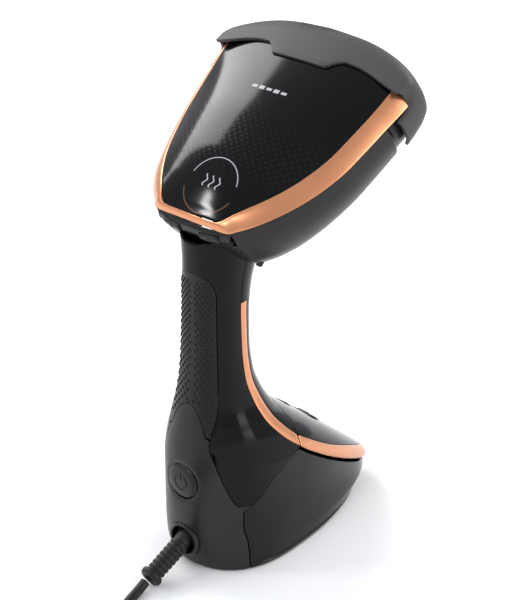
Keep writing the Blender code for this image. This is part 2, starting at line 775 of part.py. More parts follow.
def soleplate(head):
    bm = slab(plate_outline(0.0), PLATE_DEPTH - 4.5, PLATE_DEPTH - 1.0)
    low = [e for e in bm.edges if all(v.co.z < PLATE_DEPTH - 4 for v in e.verts)]
    bmesh.ops.bevel(bm, geom=low, offset=1.2, segments=1, affect="EDGES", profile=0.5)
    plate = add_mesh("soleplate", bm, ceramic_plate(), head)
    holes = bmesh.new()
    spots = [(x, y) for y, reach in ((112, 3), (94, 3), (76, 2), (58, 1))
             for x in (13.0 * k for k in range(-reach, reach + 1))]
    for x, y in spots:
        place = Matrix.Translation((x, y, PLATE_DEPTH - 3))
        bmesh.ops.create_cone(holes, cap_ends=True, segments=8, radius1=1.6, radius2=1.6, depth=8.0,
                              matrix=place)
    return cut(plate, add_mesh("steam_holes", holes, None, head))


def ring_slab(name, outer, inner, low, high, finish, head):
    """Flat ring between two outlines with the same number of points."""
    rows = [[Vector((x, y, z)) for x, y in line]
            for line, z in ((outer, low), (outer, high), (inner, high), (inner, low), (outer, low))]
    bm = skin(rows, close=True)
    bmesh.ops.recalc_face_normals(bm, faces=bm.faces)
    return add_mesh(name, bm, finish, head)


def steam_engine(head):
    """Chamber, lid, heating rod, thermostat, fuse, heat shield and screws behind the plate."""
    ring_slab("soleplate_seal", plate_outline(1.2), plate_outline(5.0), PLATE_DEPTH - 0.7,
              PLATE_DEPTH + 1.8, silicone(), head)
    chamber = slab(plate_outline(8.0), PLATE_DEPTH - 0.7, PLATE_DEPTH + 9.0)
    add_mesh("steam_chamber", chamber, aluminium(), head)
    lid = slab(plate_outline(12.0), PLATE_DEPTH + 9.3, PLATE_DEPTH + 11.3)
    add_mesh("chamber_cover", lid, aluminium(), head)
    rise = PLATE_DEPTH + 14.6
    bow = [(-20, 62, rise), (-24, 78, rise), (-28, 96, rise), (-26, 108, rise), (-17, 114, rise),
           (0, 116, rise), (17, 114, rise), (26, 108, rise), (28, 96, rise), (24, 78, rise), (20, 62, rise)]
    tube("heating_element", spline(bow, 2), 3.0, steel(), head)
    turned("thermostat", ((0, 8.0), (8, 8.0), (8, 1.0), (6, 0), (0, 0)), steel(), head,
           (0.0, 84.0, PLATE_DEPTH + 11.6), steps=18)
    rod("thermal_fuse", (-10.0, 66.0, PLATE_DEPTH + 14.2), (10.0, 66.0, PLATE_DEPTH + 14.2), 2.2,
        white_plastic(), head, 12)
    shield = slab(plate_outline(9.0), PLATE_DEPTH + 20.6, PLATE_DEPTH + 22.0)
    add_mesh("heat_shield", shield, steel(), head)
    for name, x in (("chamber_screw_left", -14.0), ("chamber_screw_right", 14.0)):
        turned(name, ((0, 3.0), (3.4, 3.0), (3.4, 0.6), (2.6, 0), (0, 0)), steel(), head,
               (x, 48.0, PLATE_DEPTH + 11.6), steps=12)


def control_bar(head, key_cutter):
    """Dark bar under the trim, bent to the head's blunt lower end."""
    rows = []
    for k in range(-8, 9):
        t = k / 8
        x = 27.0 * t
        back = 2.6 * t * t
        rise = -2.2 * t * t
        rows.append([Vector((x, y + back, z + rise)) for y, z in
                     ((0.0, 1.3), (-2.2, 0.2), (-3.4, -3.0), (-3.0, -6.4 + t * t), (0.4, -7.6 + t * t))])
    bar = thicken(add_mesh("control_bar", facing(skin(rows), (0, -200, 0)), satin_black(), head), 2.0)
    return cut(bar, key_cutter)


def steam_key(name, head, side):
    """Press key in the bar; it travels into the head along the head's own axis."""
    centre = Vector((side * 14.0, -2.1, -3.6))
    bm = bmesh.new()
    bmesh.ops.create_cube(bm, size=1.0)
    turn = Matrix.Rotation(math.radians(side * 6.0), 4, "Z")
    place = Matrix.Translation(centre) @ turn @ Matrix.Diagonal((13.0, 3.4, 4.6, 1))
    bmesh.ops.transform(bm, matrix=place, verts=bm.verts)
    bmesh.ops.bevel(bm, geom=bm.edges[:], offset=0.8, segments=2, affect="EDGES", profile=0.5)
    return add_mesh(name, bm, satin_black(), head, centre)


def key_cutter(head):
    bm = bmesh.new()
    for side in (-1, 1):
        turn = Matrix.Rotation(math.radians(side * 6.0), 4, "Z")
        place = Matrix.Translation((side * 14.0, -2.1, -3.6)) @ turn
        bmesh.ops.create_cube(bm, size=1.0, matrix=place @ Matrix.Diagonal((13.8, 14.0, 5.4, 1)))
    return add_mesh("key_holes", bm, None, head)


# ---------------------------------------------------------------- handle works

def trigger_rows(grow=0.0):
    """Trigger's front skin: rows across, down the front of the handle."""
    rows = []
    for k in range(9):
        z = lerp(184.0 + grow, 143.0 - grow, k / 8)
        bulge = 2.6 * math.sin(math.pi * min(1.0, k / 7)) + (2.4 if k == 8 else 1.2 * k / 8)
        row = []
        for j in range(-4, 5):
            a = j / 4 * math.radians(50)
            reach = 9.6 + grow
            y = lerp(level(z, EDGE), level(z, CREST), math.cos(a)) + bulge
            row.append(Vector((reach * math.sin(a) / math.sin(math.radians(50)), y, z)))
        rows.append(row)
    return rows


def steam_trigger(root):
    bm = facing(skin(trigger_rows()), (0, 200, 160))
    pivot = (0.0, *TRIGGER_PIVOT)
    return thicken(add_mesh("steam_trigger", bm, satin_black(), root, pivot), 3.2, even=False)


def trigger_cutter(root):
    outline = [(-10.2, 141.0), (10.2, 141.0), (10.2, 185.2), (-10.2, 185.2)]
    bm = slab(outline, 0.0, 40.0)
    bmesh.ops.rotate(bm, verts=bm.verts, matrix=Matrix.Rotation(math.radians(90), 3, "X"))
    bmesh.ops.translate(bm, verts=bm.verts, vec=(0, 6.0, 0))
    return add_mesh("trigger_window", bm, None, root)


def handle_works(root):
    rod("trigger_pin", (-8.5, *TRIGGER_PIVOT), (8.5, *TRIGGER_PIVOT), 1.3, steel(), root, 12)
    coil = []
    for k in range(33):
        a = k / 32 * 4 * 2 * math.pi
        coil.append((3.0 * math.cos(a), -35.5 + 5.6 * k / 32, 150.0 + 3.0 * math.sin(a)))
    tube("trigger_spring", coil, 0.42, steel(), root, 1)
    box("microswitch", (7.0, 9.0, 12.0), (0.0, -42.6, 158.0), rubber(), root, 0.5)
    box("trigger_lock", (7.0, 4.4, 9.0), LOCK_AT, satin_black(), root, 0.9, turn=-LOCK_LEAN)
    box("control_board", (22.0, 1.6, 62.0), (0.0, BOARD_Y, 148.0), board_green(), root)
    x, y = PUMP_AT
    turned("pump_body", ((0, 24.0), (9.5, 24.0), (9.5, 4.0), (6.0, 4.0), (6.0, 0.0), (3.1, 0.0), (3.1, 20.0),
                         (0, 20.0)), white_plastic(), root, (x, y, 74.0), steps=20)
    turned("pump_coil", ((10.2, 20.0), (14.0, 20.0), (14.0, 6.0), (10.2, 6.0)), winding(), root, (x, y, 74.0),
           steps=20)
    rod("pump_piston", (x, y, 68.0), (x, y, 90.0), 2.6, steel(), root, 14)


def hoses_and_wires(root):
    inlet = [(VALVE_X, -65.4, VALVE_Z), (VALVE_X, -67.2, VALVE_Z + 3), (VALVE_X, -67.5, 26.0),
             (VALVE_X, -67.0, 40.0), (VALVE_X, -64.0, 56.0), (-17.0, -59.0, 70.0), (-17.8, -54.0, 84.0),
             (-17.0, -52.5, 95.0), (-13.0, -51.0, 100.2), (-6.5, -50.5, 101.0)]
    tube("inlet_hose", spline(inlet, 2), 2.0, silicone(), root)
    outlet = [(6.0, -48.0, 100.6), (8.5, -47.0, 112.0), (9.0, -46.5, 130.0), (9.0, -46.0, 150.0),
              (9.0, -45.0, 170.0), (8.0, -42.5, 190.0), (6.0, -38.0, 206.0), (4.0, -27.0, 218.0),
              (2.0, -14.0, 228.0)]
    tube("outlet_hose", spline(outlet, 2), 2.2, silicone(), root)
    wires = [(-8.0, BOARD_Y + 3.4, 150.0), (-8.5, -50.0, 170.0), (-7.0, -44.0, 188.0), (-6.0, -40.0, 200.0),
             (-5.5, -38.0, 212.0), (-5.0, -36.5, 222.0), (-5.0, -35.5, 230.0)]
    tube("wire_bundle", spline(wires, 2), 2.4, rubber(), root)


# ---------------------------------------------------------------- base works

def bulkhead(root):
    """Wall inside the body that the back of the tank rests against."""
    rows = []
    for z in heights_between(3.5, 67.0, 5.0):
        y = smooth(TANK_BACK, z) - 0.9
        half = body_point(z, way_to(z, y)).x - 4.4
        rows.append([Vector((lerp(half, 0.0, k / 4), y, z)) for k in range(5)])
    bm = facing(mirrored(skin(rows)), (0, 200, 0))
    wall = thicken(add_mesh("bulkhead", bm, satin_black(), root), 1.8)
    spout = rod("spout_hole", (VALVE_X, -70.0, VALVE_Z), (VALVE_X, -40.0, VALVE_Z), 6.2, None, root, 16)
    return cut(wall, spout)


def base_plate(root):
    rear = [body_point(1.0, k / 10 * way_to(1.0, -57.2)) for k in range(11)]
    half = [((p.x) * 0.90, p.y + 3.6 * (1 - 0.6 * k / 10)) for k, p in enumerate(rear)]
    outline = [*half, *((-x, y) for x, y in reversed(half[1:]))]
    return add_mesh("base_plate", slab(outline, 0.9, 2.9), satin_black(), root)


def foot(name, x, y, low, high, radius, parent):
    return turned(name, ((0, high), (radius, high), (radius, low + 0.3), (radius - 0.4, low), (0, low)),
                  rubber(), parent, (x, y, 0.0), steps=16)


def base_works(root, tank):
    for name, x in (("foot_left", -17.0), ("foot_right", 17.0)):
        foot(name, x, -62.6, 0.0, 0.6, 3.4, root)
    oblong = [(19 * math.cos(a) * (1 if abs(math.cos(a)) < 0.7 else 0.94), 20 + 34 * math.sin(a))
              for a in (k / 24 * 2 * math.pi for k in range(24))]
    add_mesh("tank_foot", slab(oblong, 0.0, 0.55), rubber(), tank)
    valve = ((0, 9.4), (3.2, 9.4), (3.2, 3.2), (5.2, 3.2), (5.2, 1.6), (3.2, 1.6), (3.2, 0.0), (1.4, 0.0),
             (1.4, 8.0), (0, 8.0))
    turned("tank_valve", valve, white_plastic(), tank, (VALVE_X, -53.7, VALVE_Z), 90.0, 16)
    turned("tank_socket", ((3.9, 7.2), (5.6, 7.2), (5.6, 0.0), (3.9, 0.0)), white_plastic(), root,
           (VALVE_X, -57.3, VALVE_Z), 90.0, 16)
    box("power_switch", (16.0, 8.0, 14.0), (0.0, -63.0, BUTTON_Z), rubber(), root, 0.6)
    coil = []
    for k in range(37):
        a = k / 36 * 3 * 2 * math.pi
        coil.append((7.4 * math.cos(a), -72.5 + 4.0 * k / 36, BUTTON_Z + 7.4 * math.sin(a)))
    tube("power_spring", coil, 0.4, steel(), root, 1)


def power_button(root):
    """Domed round key in the dish of the rear shell."""
    face = level(BUTTON_Z, REAR)
    profile = ((0, 1.5), (4.0, 1.42), (8.0, 1.0), (10.2, 0.4), (BUTTON_RADIUS, -0.4), (BUTTON_RADIUS, -2.0),
               (0, -2.0))
    return turned("power_button", profile, satin_black(), root, (0, face + 1.2, BUTTON_Z), 90.0, 28)


def button_cutters(root):
    face = level(BUTTON_Z, REAR)
    reach = 46.0
    bm = bmesh.new()
    depth = math.sqrt(reach * reach - DISH_RADIUS * DISH_RADIUS)
    place = Matrix.Translation((0, face - depth, BUTTON_Z)) @ Matrix.Rotation(math.pi / 2, 4, "X")
    bmesh.ops.create_uvsphere(bm, u_segments=48, v_segments=24, radius=reach, matrix=place)
    dish = add_mesh("dish", bm, None, root)
    hole = rod("button_hole", (0, face - 8, BUTTON_Z), (0, face + 12, BUTTON_Z), BUTTON_RADIUS + GAP, None,
               root, 28)
    return dish, hole


def tank_fittings(tank):
    """Fill cap with its hinge at the toe side and release key, both on the crest of the tank cover."""
    z = 58.0
    slope = math.degrees(math.atan2(level(z + 4, CREST) - level(z - 4, CREST), 8.0))
    frame = add_empty("cover_crest", (0, level(z, CREST), z), -90.0 - slope, tank)
    cap_profile = ((0, 0.5), (7.0, 0.3), (11.0, -0.3), (11.4, -0.8), (11.4, -2.2), (8.0, -2.2), (8.0, -5.0),
                   (0, -5.0))
    turned("fill_cap", cap_profile, gloss_black(), frame, (0, -3.0, 0), steps=28)
    box("tank_release", (12.0, 5.4, 4.0), RELEASE_AT, guard_grey(), frame, 0.7)
    cap_hole = rod("cap_hole", (0, -3.0, -8.0), (0, -3.0, 8.0), 11.4 + GAP, None, frame, 28)
    key_hole = box("release_hole", (12.8, 6.2, 16.0), RELEASE_AT, None, frame)
    return cap_hole, key_hole


# ---------------------------------------------------------------- cord

def coil_profile():
    """Outline of the bundle's cross-section, (radius, height) down the outside first."""
    half = COIL_ACROSS * CORD_RADIUS
    tall = COIL_HIGH * 2 * CORD_RADIUS
    corner = CORD_RADIUS * 0.8
    outer, inner = COIL_RADIUS + half, COIL_RADIUS - half
    return ((inner + corner, tall), (outer - corner, tall), (outer, tall - corner), (outer, corner),
            (outer - corner, 0.0), (inner + corner, 0.0), (inner, corner), (inner, tall - corner))


def cord_parts(root):
    exit_y = level(CORD_EXIT_Z, REAR)
    socket = ((10.2, 1.2), (10.8, 0.4), (11.0, -1.0), (11.0, -4.0), (8.9, -4.0), (8.9, 0.4), (9.3, 1.2))
    turned("cord_socket", socket, satin_black(), root, (0, exit_y - 0.6, CORD_EXIT_Z), 90.0, 24)
    sleeve = ((3.3, 33.0), (6.4, 33.0), (7.0, 32.0), (7.0, 29.4), (5.0, 28.0), (5.0, 26.6), (5.6, 25.6),
              (5.6, 22.6), (5.1, 21.8), (5.1, 20.6), (5.7, 19.6), (5.7, 16.6), (5.2, 15.8), (5.2, 14.6),
              (5.8, 13.6), (5.8, 10.4), (5.4, 9.4), (5.5, 4.0), (5.9, 0.0), (5.9, -6.0), (3.3, -6.0))
    turned("strain_relief", sleeve, cord_black(), root, (0, exit_y, CORD_EXIT_Z), 90.0 + CORD_DROOP, 12)
    box("cord_clamp", (20.0, 5.0, 9.0), (0.0, -61.4, 24.0), white_plastic(), root, 0.6)
    tube("power_cord", spline(CORD_ROUTE, 2), CORD_RADIUS, cord_black(), root)
    tube("plug_lead", spline(LEAD_ROUTE, 2), CORD_RADIUS, cord_black(), root)
    x, y = COIL_AT
    turned("cord_coil", coil_profile(), cord_black(), root, (x, y, 0.0), steps=32)
    a = math.radians(COIL_TIE_ANGLE)
    spot = Vector((x + COIL_RADIUS * math.cos(a), y + COIL_RADIUS * math.sin(a), 0))
    out = Vector((math.cos(a), math.sin(a), 0))
    reach, tall = COIL_ACROSS * CORD_RADIUS + 1.7, COIL_HIGH * 2 * CORD_RADIUS + 1.2
    side = Vector((-out.y, out.x, 0))
    outer = [spot + out * p + Vector((0, 0, q))
             for p, q in ((reach, 0.8), (reach, tall), (-reach, tall), (-reach, 0.8))]
    inner = [spot + out * p + Vector((0, 0, q))
             for p, q in ((reach - 0.8, 0.8), (reach - 0.8, tall - 0.8), (0.8 - reach, tall - 0.8),
                          (0.8 - reach, 0.8))]
    band = [*outer, *reversed(inner)]
    rows = [[p + side * w for p in band] for w in (-4.0, 4.0)]
    bm = skin(rows, close=True)
    for row in rows:
        bm.faces.new([min(bm.verts, key=lambda v: (v.co - p).length) for p in row])
    bmesh.ops.recalc_face_normals(bm, faces=bm.faces)
    add_mesh("cord_tie", bm, rubber(), root)
    plug_parts(root)


def plug_parts(root):
    x, y, z = PLUG_AT
    profile = ((0, 0.0), (17.5, 0.0), (18.4, -1.0), (18.4, -10.0), (16.0, -14.0), (9.0, -22.0), (6.0, -30.0),
               (5.0, -38.0), (0, -38.0))
    turned("plug_body", profile, cord_black(), root, (x, y, z), -90.0, 24)
    for name, side in (("plug_pin_left", -9.5), ("plug_pin_right", 9.5)):
        rod(name, (x + side, y + GAP, z), (x + side, y + 19.0, z), 2.4, brass(), root, 12)


# ---------------------------------------------------------------- assembly

def build():
    root = add_empty("steamer_frame", (0, -(HEEL_REAR + TOE_FRONT) / 2, 0))
    tank = add_empty("tank_frame", (0, 0, 0), 0.0, root)
    head = add_empty("head_frame", HEAD_AT, HEAD_LEAN, root)

    hull = head_hull(head)
    passage = rod("neck_passage", (0, -40.0, 190.0), (0, -28.0, 250.0), 11.0, None, root, 20)
    bar_hole = box("bar_hole", (58.0, 14.0, 17.6), (0, -1.0, -0.7), None, head)
    shell = rear_shell(root)
    dish, hole = button_cutters(root)
    cord_hole = rod("cord_hole", (0, -90.0, CORD_EXIT_Z), (0, -62.0, CORD_EXIT_Z), 11.0 + GAP, None, root, 24)
    for cutter in (dish, hole, cord_hole):
        cut(shell, cutter)
    grip_panel(root)
    handle_shell(root, hull, bar_hole)
    lock_hole = box("lock_hole", (7.8, 14.0, 12.6), LOCK_AT, None, root, turn=-LOCK_LEAN)
    front_cover(root, hull, trigger_cutter(root), lock_hole)
    for side in (-1, 1):
        handle_trim(root, side)
    steam_trigger(root)
    handle_works(root)
    hoses_and_wires(root)
    bulkhead(root)
    base_plate(root)
    power_button(root)

    tank_shell(tank)
    tank_rim(tank)
    cap_hole, release_hole = tank_fittings(tank)
    tank_cover(tank, cap_hole, release_hole)
    base_works(root, tank)

    head_cover(head)
    head_trim(head)
    head_shell(head, passage, bar_hole)
    slot = box("guard_slot", (37.0, 12.0, 3.4), (0, 139.0, 3.0), None, head, 1.2, turn=-40.0)
    head_guard(head, slot)
    soleplate(head)
    steam_engine(head)
    control_bar(head, key_cutter(head))
    steam_key("steam_low_key", head, -1)
    steam_key("steam_high_key", head, 1)
    cord_parts(root)


clear_scene()
parts = bpy.data.collections.new("garment_steamer")
cutters = bpy.data.collections.new("cutters")
for collection in (parts, cutters):
    bpy.context.scene.collection.children.link(collection)
build()
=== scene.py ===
import functools
import math

import bmesh
import bpy
from mathutils import Matrix, Vector


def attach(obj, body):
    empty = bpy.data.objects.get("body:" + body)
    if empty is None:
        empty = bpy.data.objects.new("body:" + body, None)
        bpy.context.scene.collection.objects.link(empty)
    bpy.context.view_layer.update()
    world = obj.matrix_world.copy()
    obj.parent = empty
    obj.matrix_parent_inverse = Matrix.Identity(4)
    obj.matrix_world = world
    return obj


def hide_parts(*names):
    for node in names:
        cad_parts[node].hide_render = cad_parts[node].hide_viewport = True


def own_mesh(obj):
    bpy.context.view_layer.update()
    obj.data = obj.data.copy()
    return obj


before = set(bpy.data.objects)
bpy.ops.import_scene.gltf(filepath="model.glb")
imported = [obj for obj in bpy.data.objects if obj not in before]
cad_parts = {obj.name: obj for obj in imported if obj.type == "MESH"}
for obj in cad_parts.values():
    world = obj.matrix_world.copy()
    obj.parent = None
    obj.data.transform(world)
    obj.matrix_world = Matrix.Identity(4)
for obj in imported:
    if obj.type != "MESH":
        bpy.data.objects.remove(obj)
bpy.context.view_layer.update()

# Looks of the handheld garment steamer. Lengths below are millimetres in the part's own frame, and become
# metres where a mesh is made.
MM = 0.001
SHIFT = -2.4                       # the part's own frame along the floor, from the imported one
PACKED = Matrix.Scale(MM, 4) @ Matrix.Translation((0, SHIFT, 0))
HEAD_AT = (0.0, -64.0, 222.0)      # the head's own frame: y up the head, z out of its back cover
HEAD_LEAN = 36.0
HEAD = Matrix.Translation(HEAD_AT) @ Matrix.Rotation(math.radians(HEAD_LEAN), 4, "X")
AT_REST = Matrix.Identity(4)


# ---------------------------------------------------------------- camera, floor and lights

def point_light(name, at, target, size, power, shape="RECTANGLE", height=None):
    lamp = bpy.data.lights.new(name, "AREA")
    lamp.shape, lamp.size, lamp.energy = shape, size, power
    if height:
        lamp.size_y = height
    obj = bpy.data.objects.new(name, lamp)
    obj.location = at
    obj.rotation_euler = (Vector(at) - Vector(target)).to_track_quat("Z", "Y").to_euler()
    bpy.context.scene.collection.objects.link(obj)
    return obj


def studio():
    camera = bpy.data.objects.new("camera", bpy.data.cameras.new("camera"))
    camera.data.lens = 102.0
    camera.data.sensor_width = 36.0
    camera.data.clip_start = 0.05
    camera.location = (0.599, -0.6704, 0.608)
    camera.rotation_euler = (math.radians(63.0), 0.0, math.radians(42.0))
    bpy.context.scene.collection.objects.link(camera)
    bpy.context.scene.camera = camera

    world = bpy.data.worlds.new("studio")
    world.use_nodes = True
    world.node_tree.nodes["Background"].inputs["Color"].default_value = (0.93, 0.95, 1.0, 1.0)
    world.node_tree.nodes["Background"].inputs["Strength"].default_value = 0.75
    bpy.context.scene.world = world
    bpy.context.scene.view_settings.view_transform = "Standard"

    point_light("key", (-1.5, 0.25, 1.25), (0, 0, 0.15), 1.0, 22.0, height=0.9)
    point_light("front", (0.1, -1.8, 1.3), (0, 0, 0.12), 0.8, 9.0, height=0.5)
    point_light("side", (1.5, 0.35, 0.7), (0, 0, 0.15), 0.5, 9.0, height=1.4)
    point_light("back", (0.2, 1.5, 1.1), (0, 0, 0.2), 1.4, 14.0, height=0.7)
    point_light("spark", (-0.66, -0.70, 1.0), (0, -0.05, 0.23), 0.17, 2.6, "ELLIPSE", 0.11)

    bm = bmesh.new()
    bmesh.ops.create_grid(bm, x_segments=2, y_segments=2, size=3.0)
    mesh = bpy.data.meshes.new("floor")
    bm.to_mesh(mesh)
    bm.free()
    floor = bpy.data.objects.new("floor", mesh)
    floor.location.z = -0.0002
    bpy.context.scene.collection.objects.link(floor)
    return floor


# ---------------------------------------------------------------- finishes

class Signal:
    """A shader socket; Python's operators add the nodes that work an expression out."""

    def __init__(self, finish, socket):
        self.finish, self.socket = finish, socket

    def maths(self, operation, *values):
        return self.finish.node("Math", {"operation": operation}, dict(enumerate(values)))

    def __add__(self, other):
        return self.maths("ADD", self, other)

    def __radd__(self, other):
        return self.maths("ADD", other, self)

    def __sub__(self, other):
        return self.maths("SUBTRACT", self, other)

    def __rsub__(self, other):
        return self.maths("SUBTRACT", other, self)

    def __mul__(self, other):
        return self.maths("MULTIPLY", self, other)

    def __rmul__(self, other):
        return self.maths("MULTIPLY", other, self)

    def __truediv__(self, other):
        return self.maths("DIVIDE", self, other)


class Finish:
    """A material whose Principled shader is set by name, with constants on its own sockets."""

    def __init__(self, name):
        self.material = bpy.data.materials.new(name)
        self.material.use_nodes = True
        self.tree = self.material.node_tree
        self.shader = self.tree.nodes["Principled BSDF"]

    def feed(self, socket, value):
        if isinstance(value, Signal):
            self.tree.links.new(value.socket, socket)
        elif isinstance(value, tuple) and len(value) == 3 and socket.type == "RGBA":
            socket.default_value = (*value, 1.0)
        else:
            socket.default_value = value

    def node(self, kind, settings=None, values=None, output=0):
        made = self.tree.nodes.new("ShaderNode" + kind)
        for name, setting in (settings or {}).items():
            if name == "stops":
                while len(made.color_ramp.elements) < len(setting):
                    made.color_ramp.elements.new(1.0)
                for element, (place, shade) in zip(made.color_ramp.elements, setting):
                    element.position, element.color = place, (*shade, 1.0)
            else:
                setattr(made, name, setting)
        for name, value in (values or {}).items():
            self.feed(made.inputs[name], value)
        return Signal(self, made.outputs[output])

    def set(self, **values):
        for name, value in values.items():
            self.feed(self.shader.inputs[name.replace("_", " ").title().replace("Ior", "IOR")], value)
        return self

    def place(self):
        return self.node("TexCoord", output="Object")

    def axes(self, vector):
        split = self.node("SeparateXYZ", values={"Vector": vector})
        outputs = split.socket.node.outputs
        return [Signal(self, outputs[name]) for name in ("X", "Y", "Z")]

    def noise(self, scale, detail=3.0, rough=0.5, stretch=(1, 1, 1)):
        placed = self.node("Mapping", values={"Vector": self.place(), "Scale": stretch})
        return self.node("TexNoise", values={"Vector": placed, "Scale": scale, "Detail": detail,
                                             "Roughness": rough})

    def blend(self, share, first, second):
        return self.node("Mix", {"data_type": "RGBA"}, {0: share, 6: first, 7: second}, output=2)

    def bump(self, height, strength, distance):
        return self.set(normal=self.node("Bump", values={"Height": height, "Strength": strength,
                                                         "Distance": distance}))


def clip(value):
    return value.maths("MINIMUM", value.maths("MAXIMUM", value, 0.0), 1.0)


def near(value, reach, soft):
    """1 where a distance is under a reach, falling softly to 0."""
    return clip((reach - value) / soft + 0.5)


def moulded(name, colour, roughness, spread=0.06, grain=900.0, depth=0.00002, specular=0.5):
    """Moulded plastic or rubber: fine grain, handling marks in its gloss, slightly uneven colour."""
    finish = Finish(name)
    marks = finish.noise(26.0, 4.0, 0.6)
    shade = finish.noise(9.0, 2.0)
    lighter = tuple(min(1.0, c * 1.25 + 0.001) for c in colour)
    finish.set(base_color=finish.blend(shade, colour, lighter), roughness=roughness + (marks - 0.5) * spread,
               specular_ior_level=specular)
    finish.bump(finish.noise(grain, 3.0), 0.35, depth)
    return finish


def metal(name, colour, roughness, stretch=(1, 1, 1), depth=0.00001):
    """Plain metal with fine marks drawn along one direction."""
    finish = Finish(name)
    lines = finish.noise(420.0, 4.0, 0.6, stretch)
    darker = tuple(c * 0.82 for c in colour)
    finish.set(base_color=finish.blend(lines, darker, colour), metallic=1.0,
               roughness=roughness + (lines - 0.5) * 0.16)
    finish.bump(lines, 0.3, depth)
    return finish


def head_place(finish):
    """Across the head, up the head and out of its back cover, in millimetres."""
    local = finish.node("Mapping", {"vector_type": "TEXTURE"},
                        {"Vector": finish.place(), "Rotation": (math.radians(HEAD_LEAN), 0, 0),
                         "Location": (0, (HEAD_AT[1] + SHIFT) * MM, HEAD_AT[2] * MM), "Scale": (MM, MM, MM)})
    return finish.axes(local)


def length(finish, across, up):
    return finish.node("Math", {"operation": "SQRT"}, {0: across * across + up * up})


def cover_finish():
    """Glossy cover of the head: faint dots under the gloss, a steam sign and a row of short dashes."""
    finish = Finish("head_cover_gloss")
    x, h, _ = head_place(finish)
    pitch = 4.6
    row = finish.node("Math", {"operation": "FLOOR"}, {0: h / (pitch / 2)})
    odd = finish.node("Math", {"operation": "MODULO"}, {0: row, 1: 2.0})
    across = finish.node("Math", {"operation": "FRACT"}, {0: x / pitch + 100.0 + odd * 0.5}) - 0.5
    up = finish.node("Math", {"operation": "FRACT"}, {0: h / (pitch / 2) + 100.0}) - 0.5
    dots = near(length(finish, across * pitch, up * (pitch / 2)), 0.95, 0.5)
    fade = clip((82.0 - h) / 25.0) * clip((h - 24.0) / 16.0)
    dotted = dots * fade

    sign_x, sign_h = 5.0, 22.0
    ring = length(finish, x - sign_x, h - sign_h)
    line = finish.node("Math", {"operation": "ABSOLUTE"}, {0: ring - 16.0})
    arc = near(line, 0.28, 0.25) * near(sign_h + 3.5 - h, 0.0, 0.5)
    low_arc = near(finish.node("Math", {"operation": "ABSOLUTE"}, {0: ring - 17.6}), 0.35, 0.3)
    low_arc = low_arc * near(h - sign_h + 6.0, 0.0, 0.5)
    sign = arc
    for shift in (-4.6, 0.0, 4.6):
        wave = finish.node("Math", {"operation": "SINE"}, {0: (h - sign_h) * 1.1}) * 0.9
        strand = finish.node("Math", {"operation": "ABSOLUTE"}, {0: x - sign_x - shift - wave})
        tall = finish.node("Math", {"operation": "ABSOLUTE"}, {0: h - sign_h - 1.0})
        sign = sign + near(strand, 0.42, 0.3) * near(tall, 3.6, 0.5)
    for step in range(5):
        wide = finish.node("Math", {"operation": "ABSOLUTE"}, {0: x - 5.4 * (step - 2) + 1.5})
        tall = finish.node("Math", {"operation": "ABSOLUTE"}, {0: h - 88.5})
        sign = sign + near(wide, 1.9, 0.3) * near(tall, 0.9 + 0.35 * (step % 2), 0.3)
    sign = clip(sign)

    ground = finish.blend(dotted, (0.0012, 0.0016, 0.0021), (0.0050, 0.0058, 0.0068))
    copper_lined = finish.blend(low_arc * 0.5, ground, (0.25, 0.12, 0.06))
    printed = finish.blend(sign * 0.75, copper_lined, (0.55, 0.56, 0.58))
    marks = finish.noise(22.0, 4.0, 0.6)
    finish.set(base_color=printed, roughness=0.09 + marks * 0.05 + dotted * 0.10 + sign * 0.15,
               specular_ior_level=0.17)
    finish.bump(finish.noise(60.0, 2.0), 0.08, 0.00004)
    return finish


def copper_finish():
    """Copper coloured metallised plastic: satin, faintly brushed, its colour uneven in soft clouds."""
    finish = Finish("copper_trim")
    cloud = finish.noise(40.0, 3.0)
    fine = finish.noise(1400.0, 2.0)
    finish.set(base_color=finish.blend(cloud, (0.60, 0.245, 0.115), (0.70, 0.31, 0.155)), metallic=0.88,
               roughness=0.27 + cloud * 0.08, coat_weight=0.25, coat_roughness=0.15)
    finish.bump(fine, 0.25, 0.00001)
    return finish


def tank_finish():
    """Smoked glossy wall of the tank: its colour is painted darker towards the bottom and lighter towards the top
    as painted shade, and its gloss varies slowly.
    """
    finish = Finish("smoked_tank")
    _, _, z = finish.axes(finish.place())
    slow = finish.noise(14.0, 2.0, stretch=(1, 1, 0.2))
    # painted shade: the wall's colour goes from darker at the bottom to lighter at the top
    depth = clip(z / 0.07)
    finish.set(base_color=finish.blend(depth, (0.0040, 0.0042, 0.0048), (0.0085, 0.0087, 0.0092)),
               roughness=0.12 + slow * 0.10, specular_ior_level=0.22)
    finish.bump(finish.noise(120.0, 3.0), 0.10, 0.00004)
    return finish


def cord_finish():
    """Flexible black sheath: fine lengthwise drag marks and dust in its sheen."""
    finish = Finish("cord_sheath")
    dust = finish.noise(70.0, 4.0, 0.65)
    fine = finish.noise(1500.0, 2.0)
    finish.set(base_color=finish.blend(dust, (0.0045, 0.0045, 0.0048), (0.013, 0.013, 0.0135)),
               roughness=0.42 + dust * 0.14, specular_ior_level=0.3)
    finish.bump(fine, 0.4, 0.00003)
    return finish


def plate_finish():
    """Coated soleplate: grey enamel with a fine sparkle and gloss worn unevenly in patches."""
    finish = Finish("coated_plate")
    fleck = finish.noise(2600.0, 2.0)
    wear = finish.noise(30.0, 4.0, 0.65)
    finish.set(base_color=finish.blend(clip((fleck - 0.56) * 8.0), (0.20, 0.205, 0.22), (0.42, 0.42, 0.44)),
               metallic=0.55, roughness=0.20 + wear * 0.16)
    finish.bump(fleck, 0.12, 0.00002)
    return finish


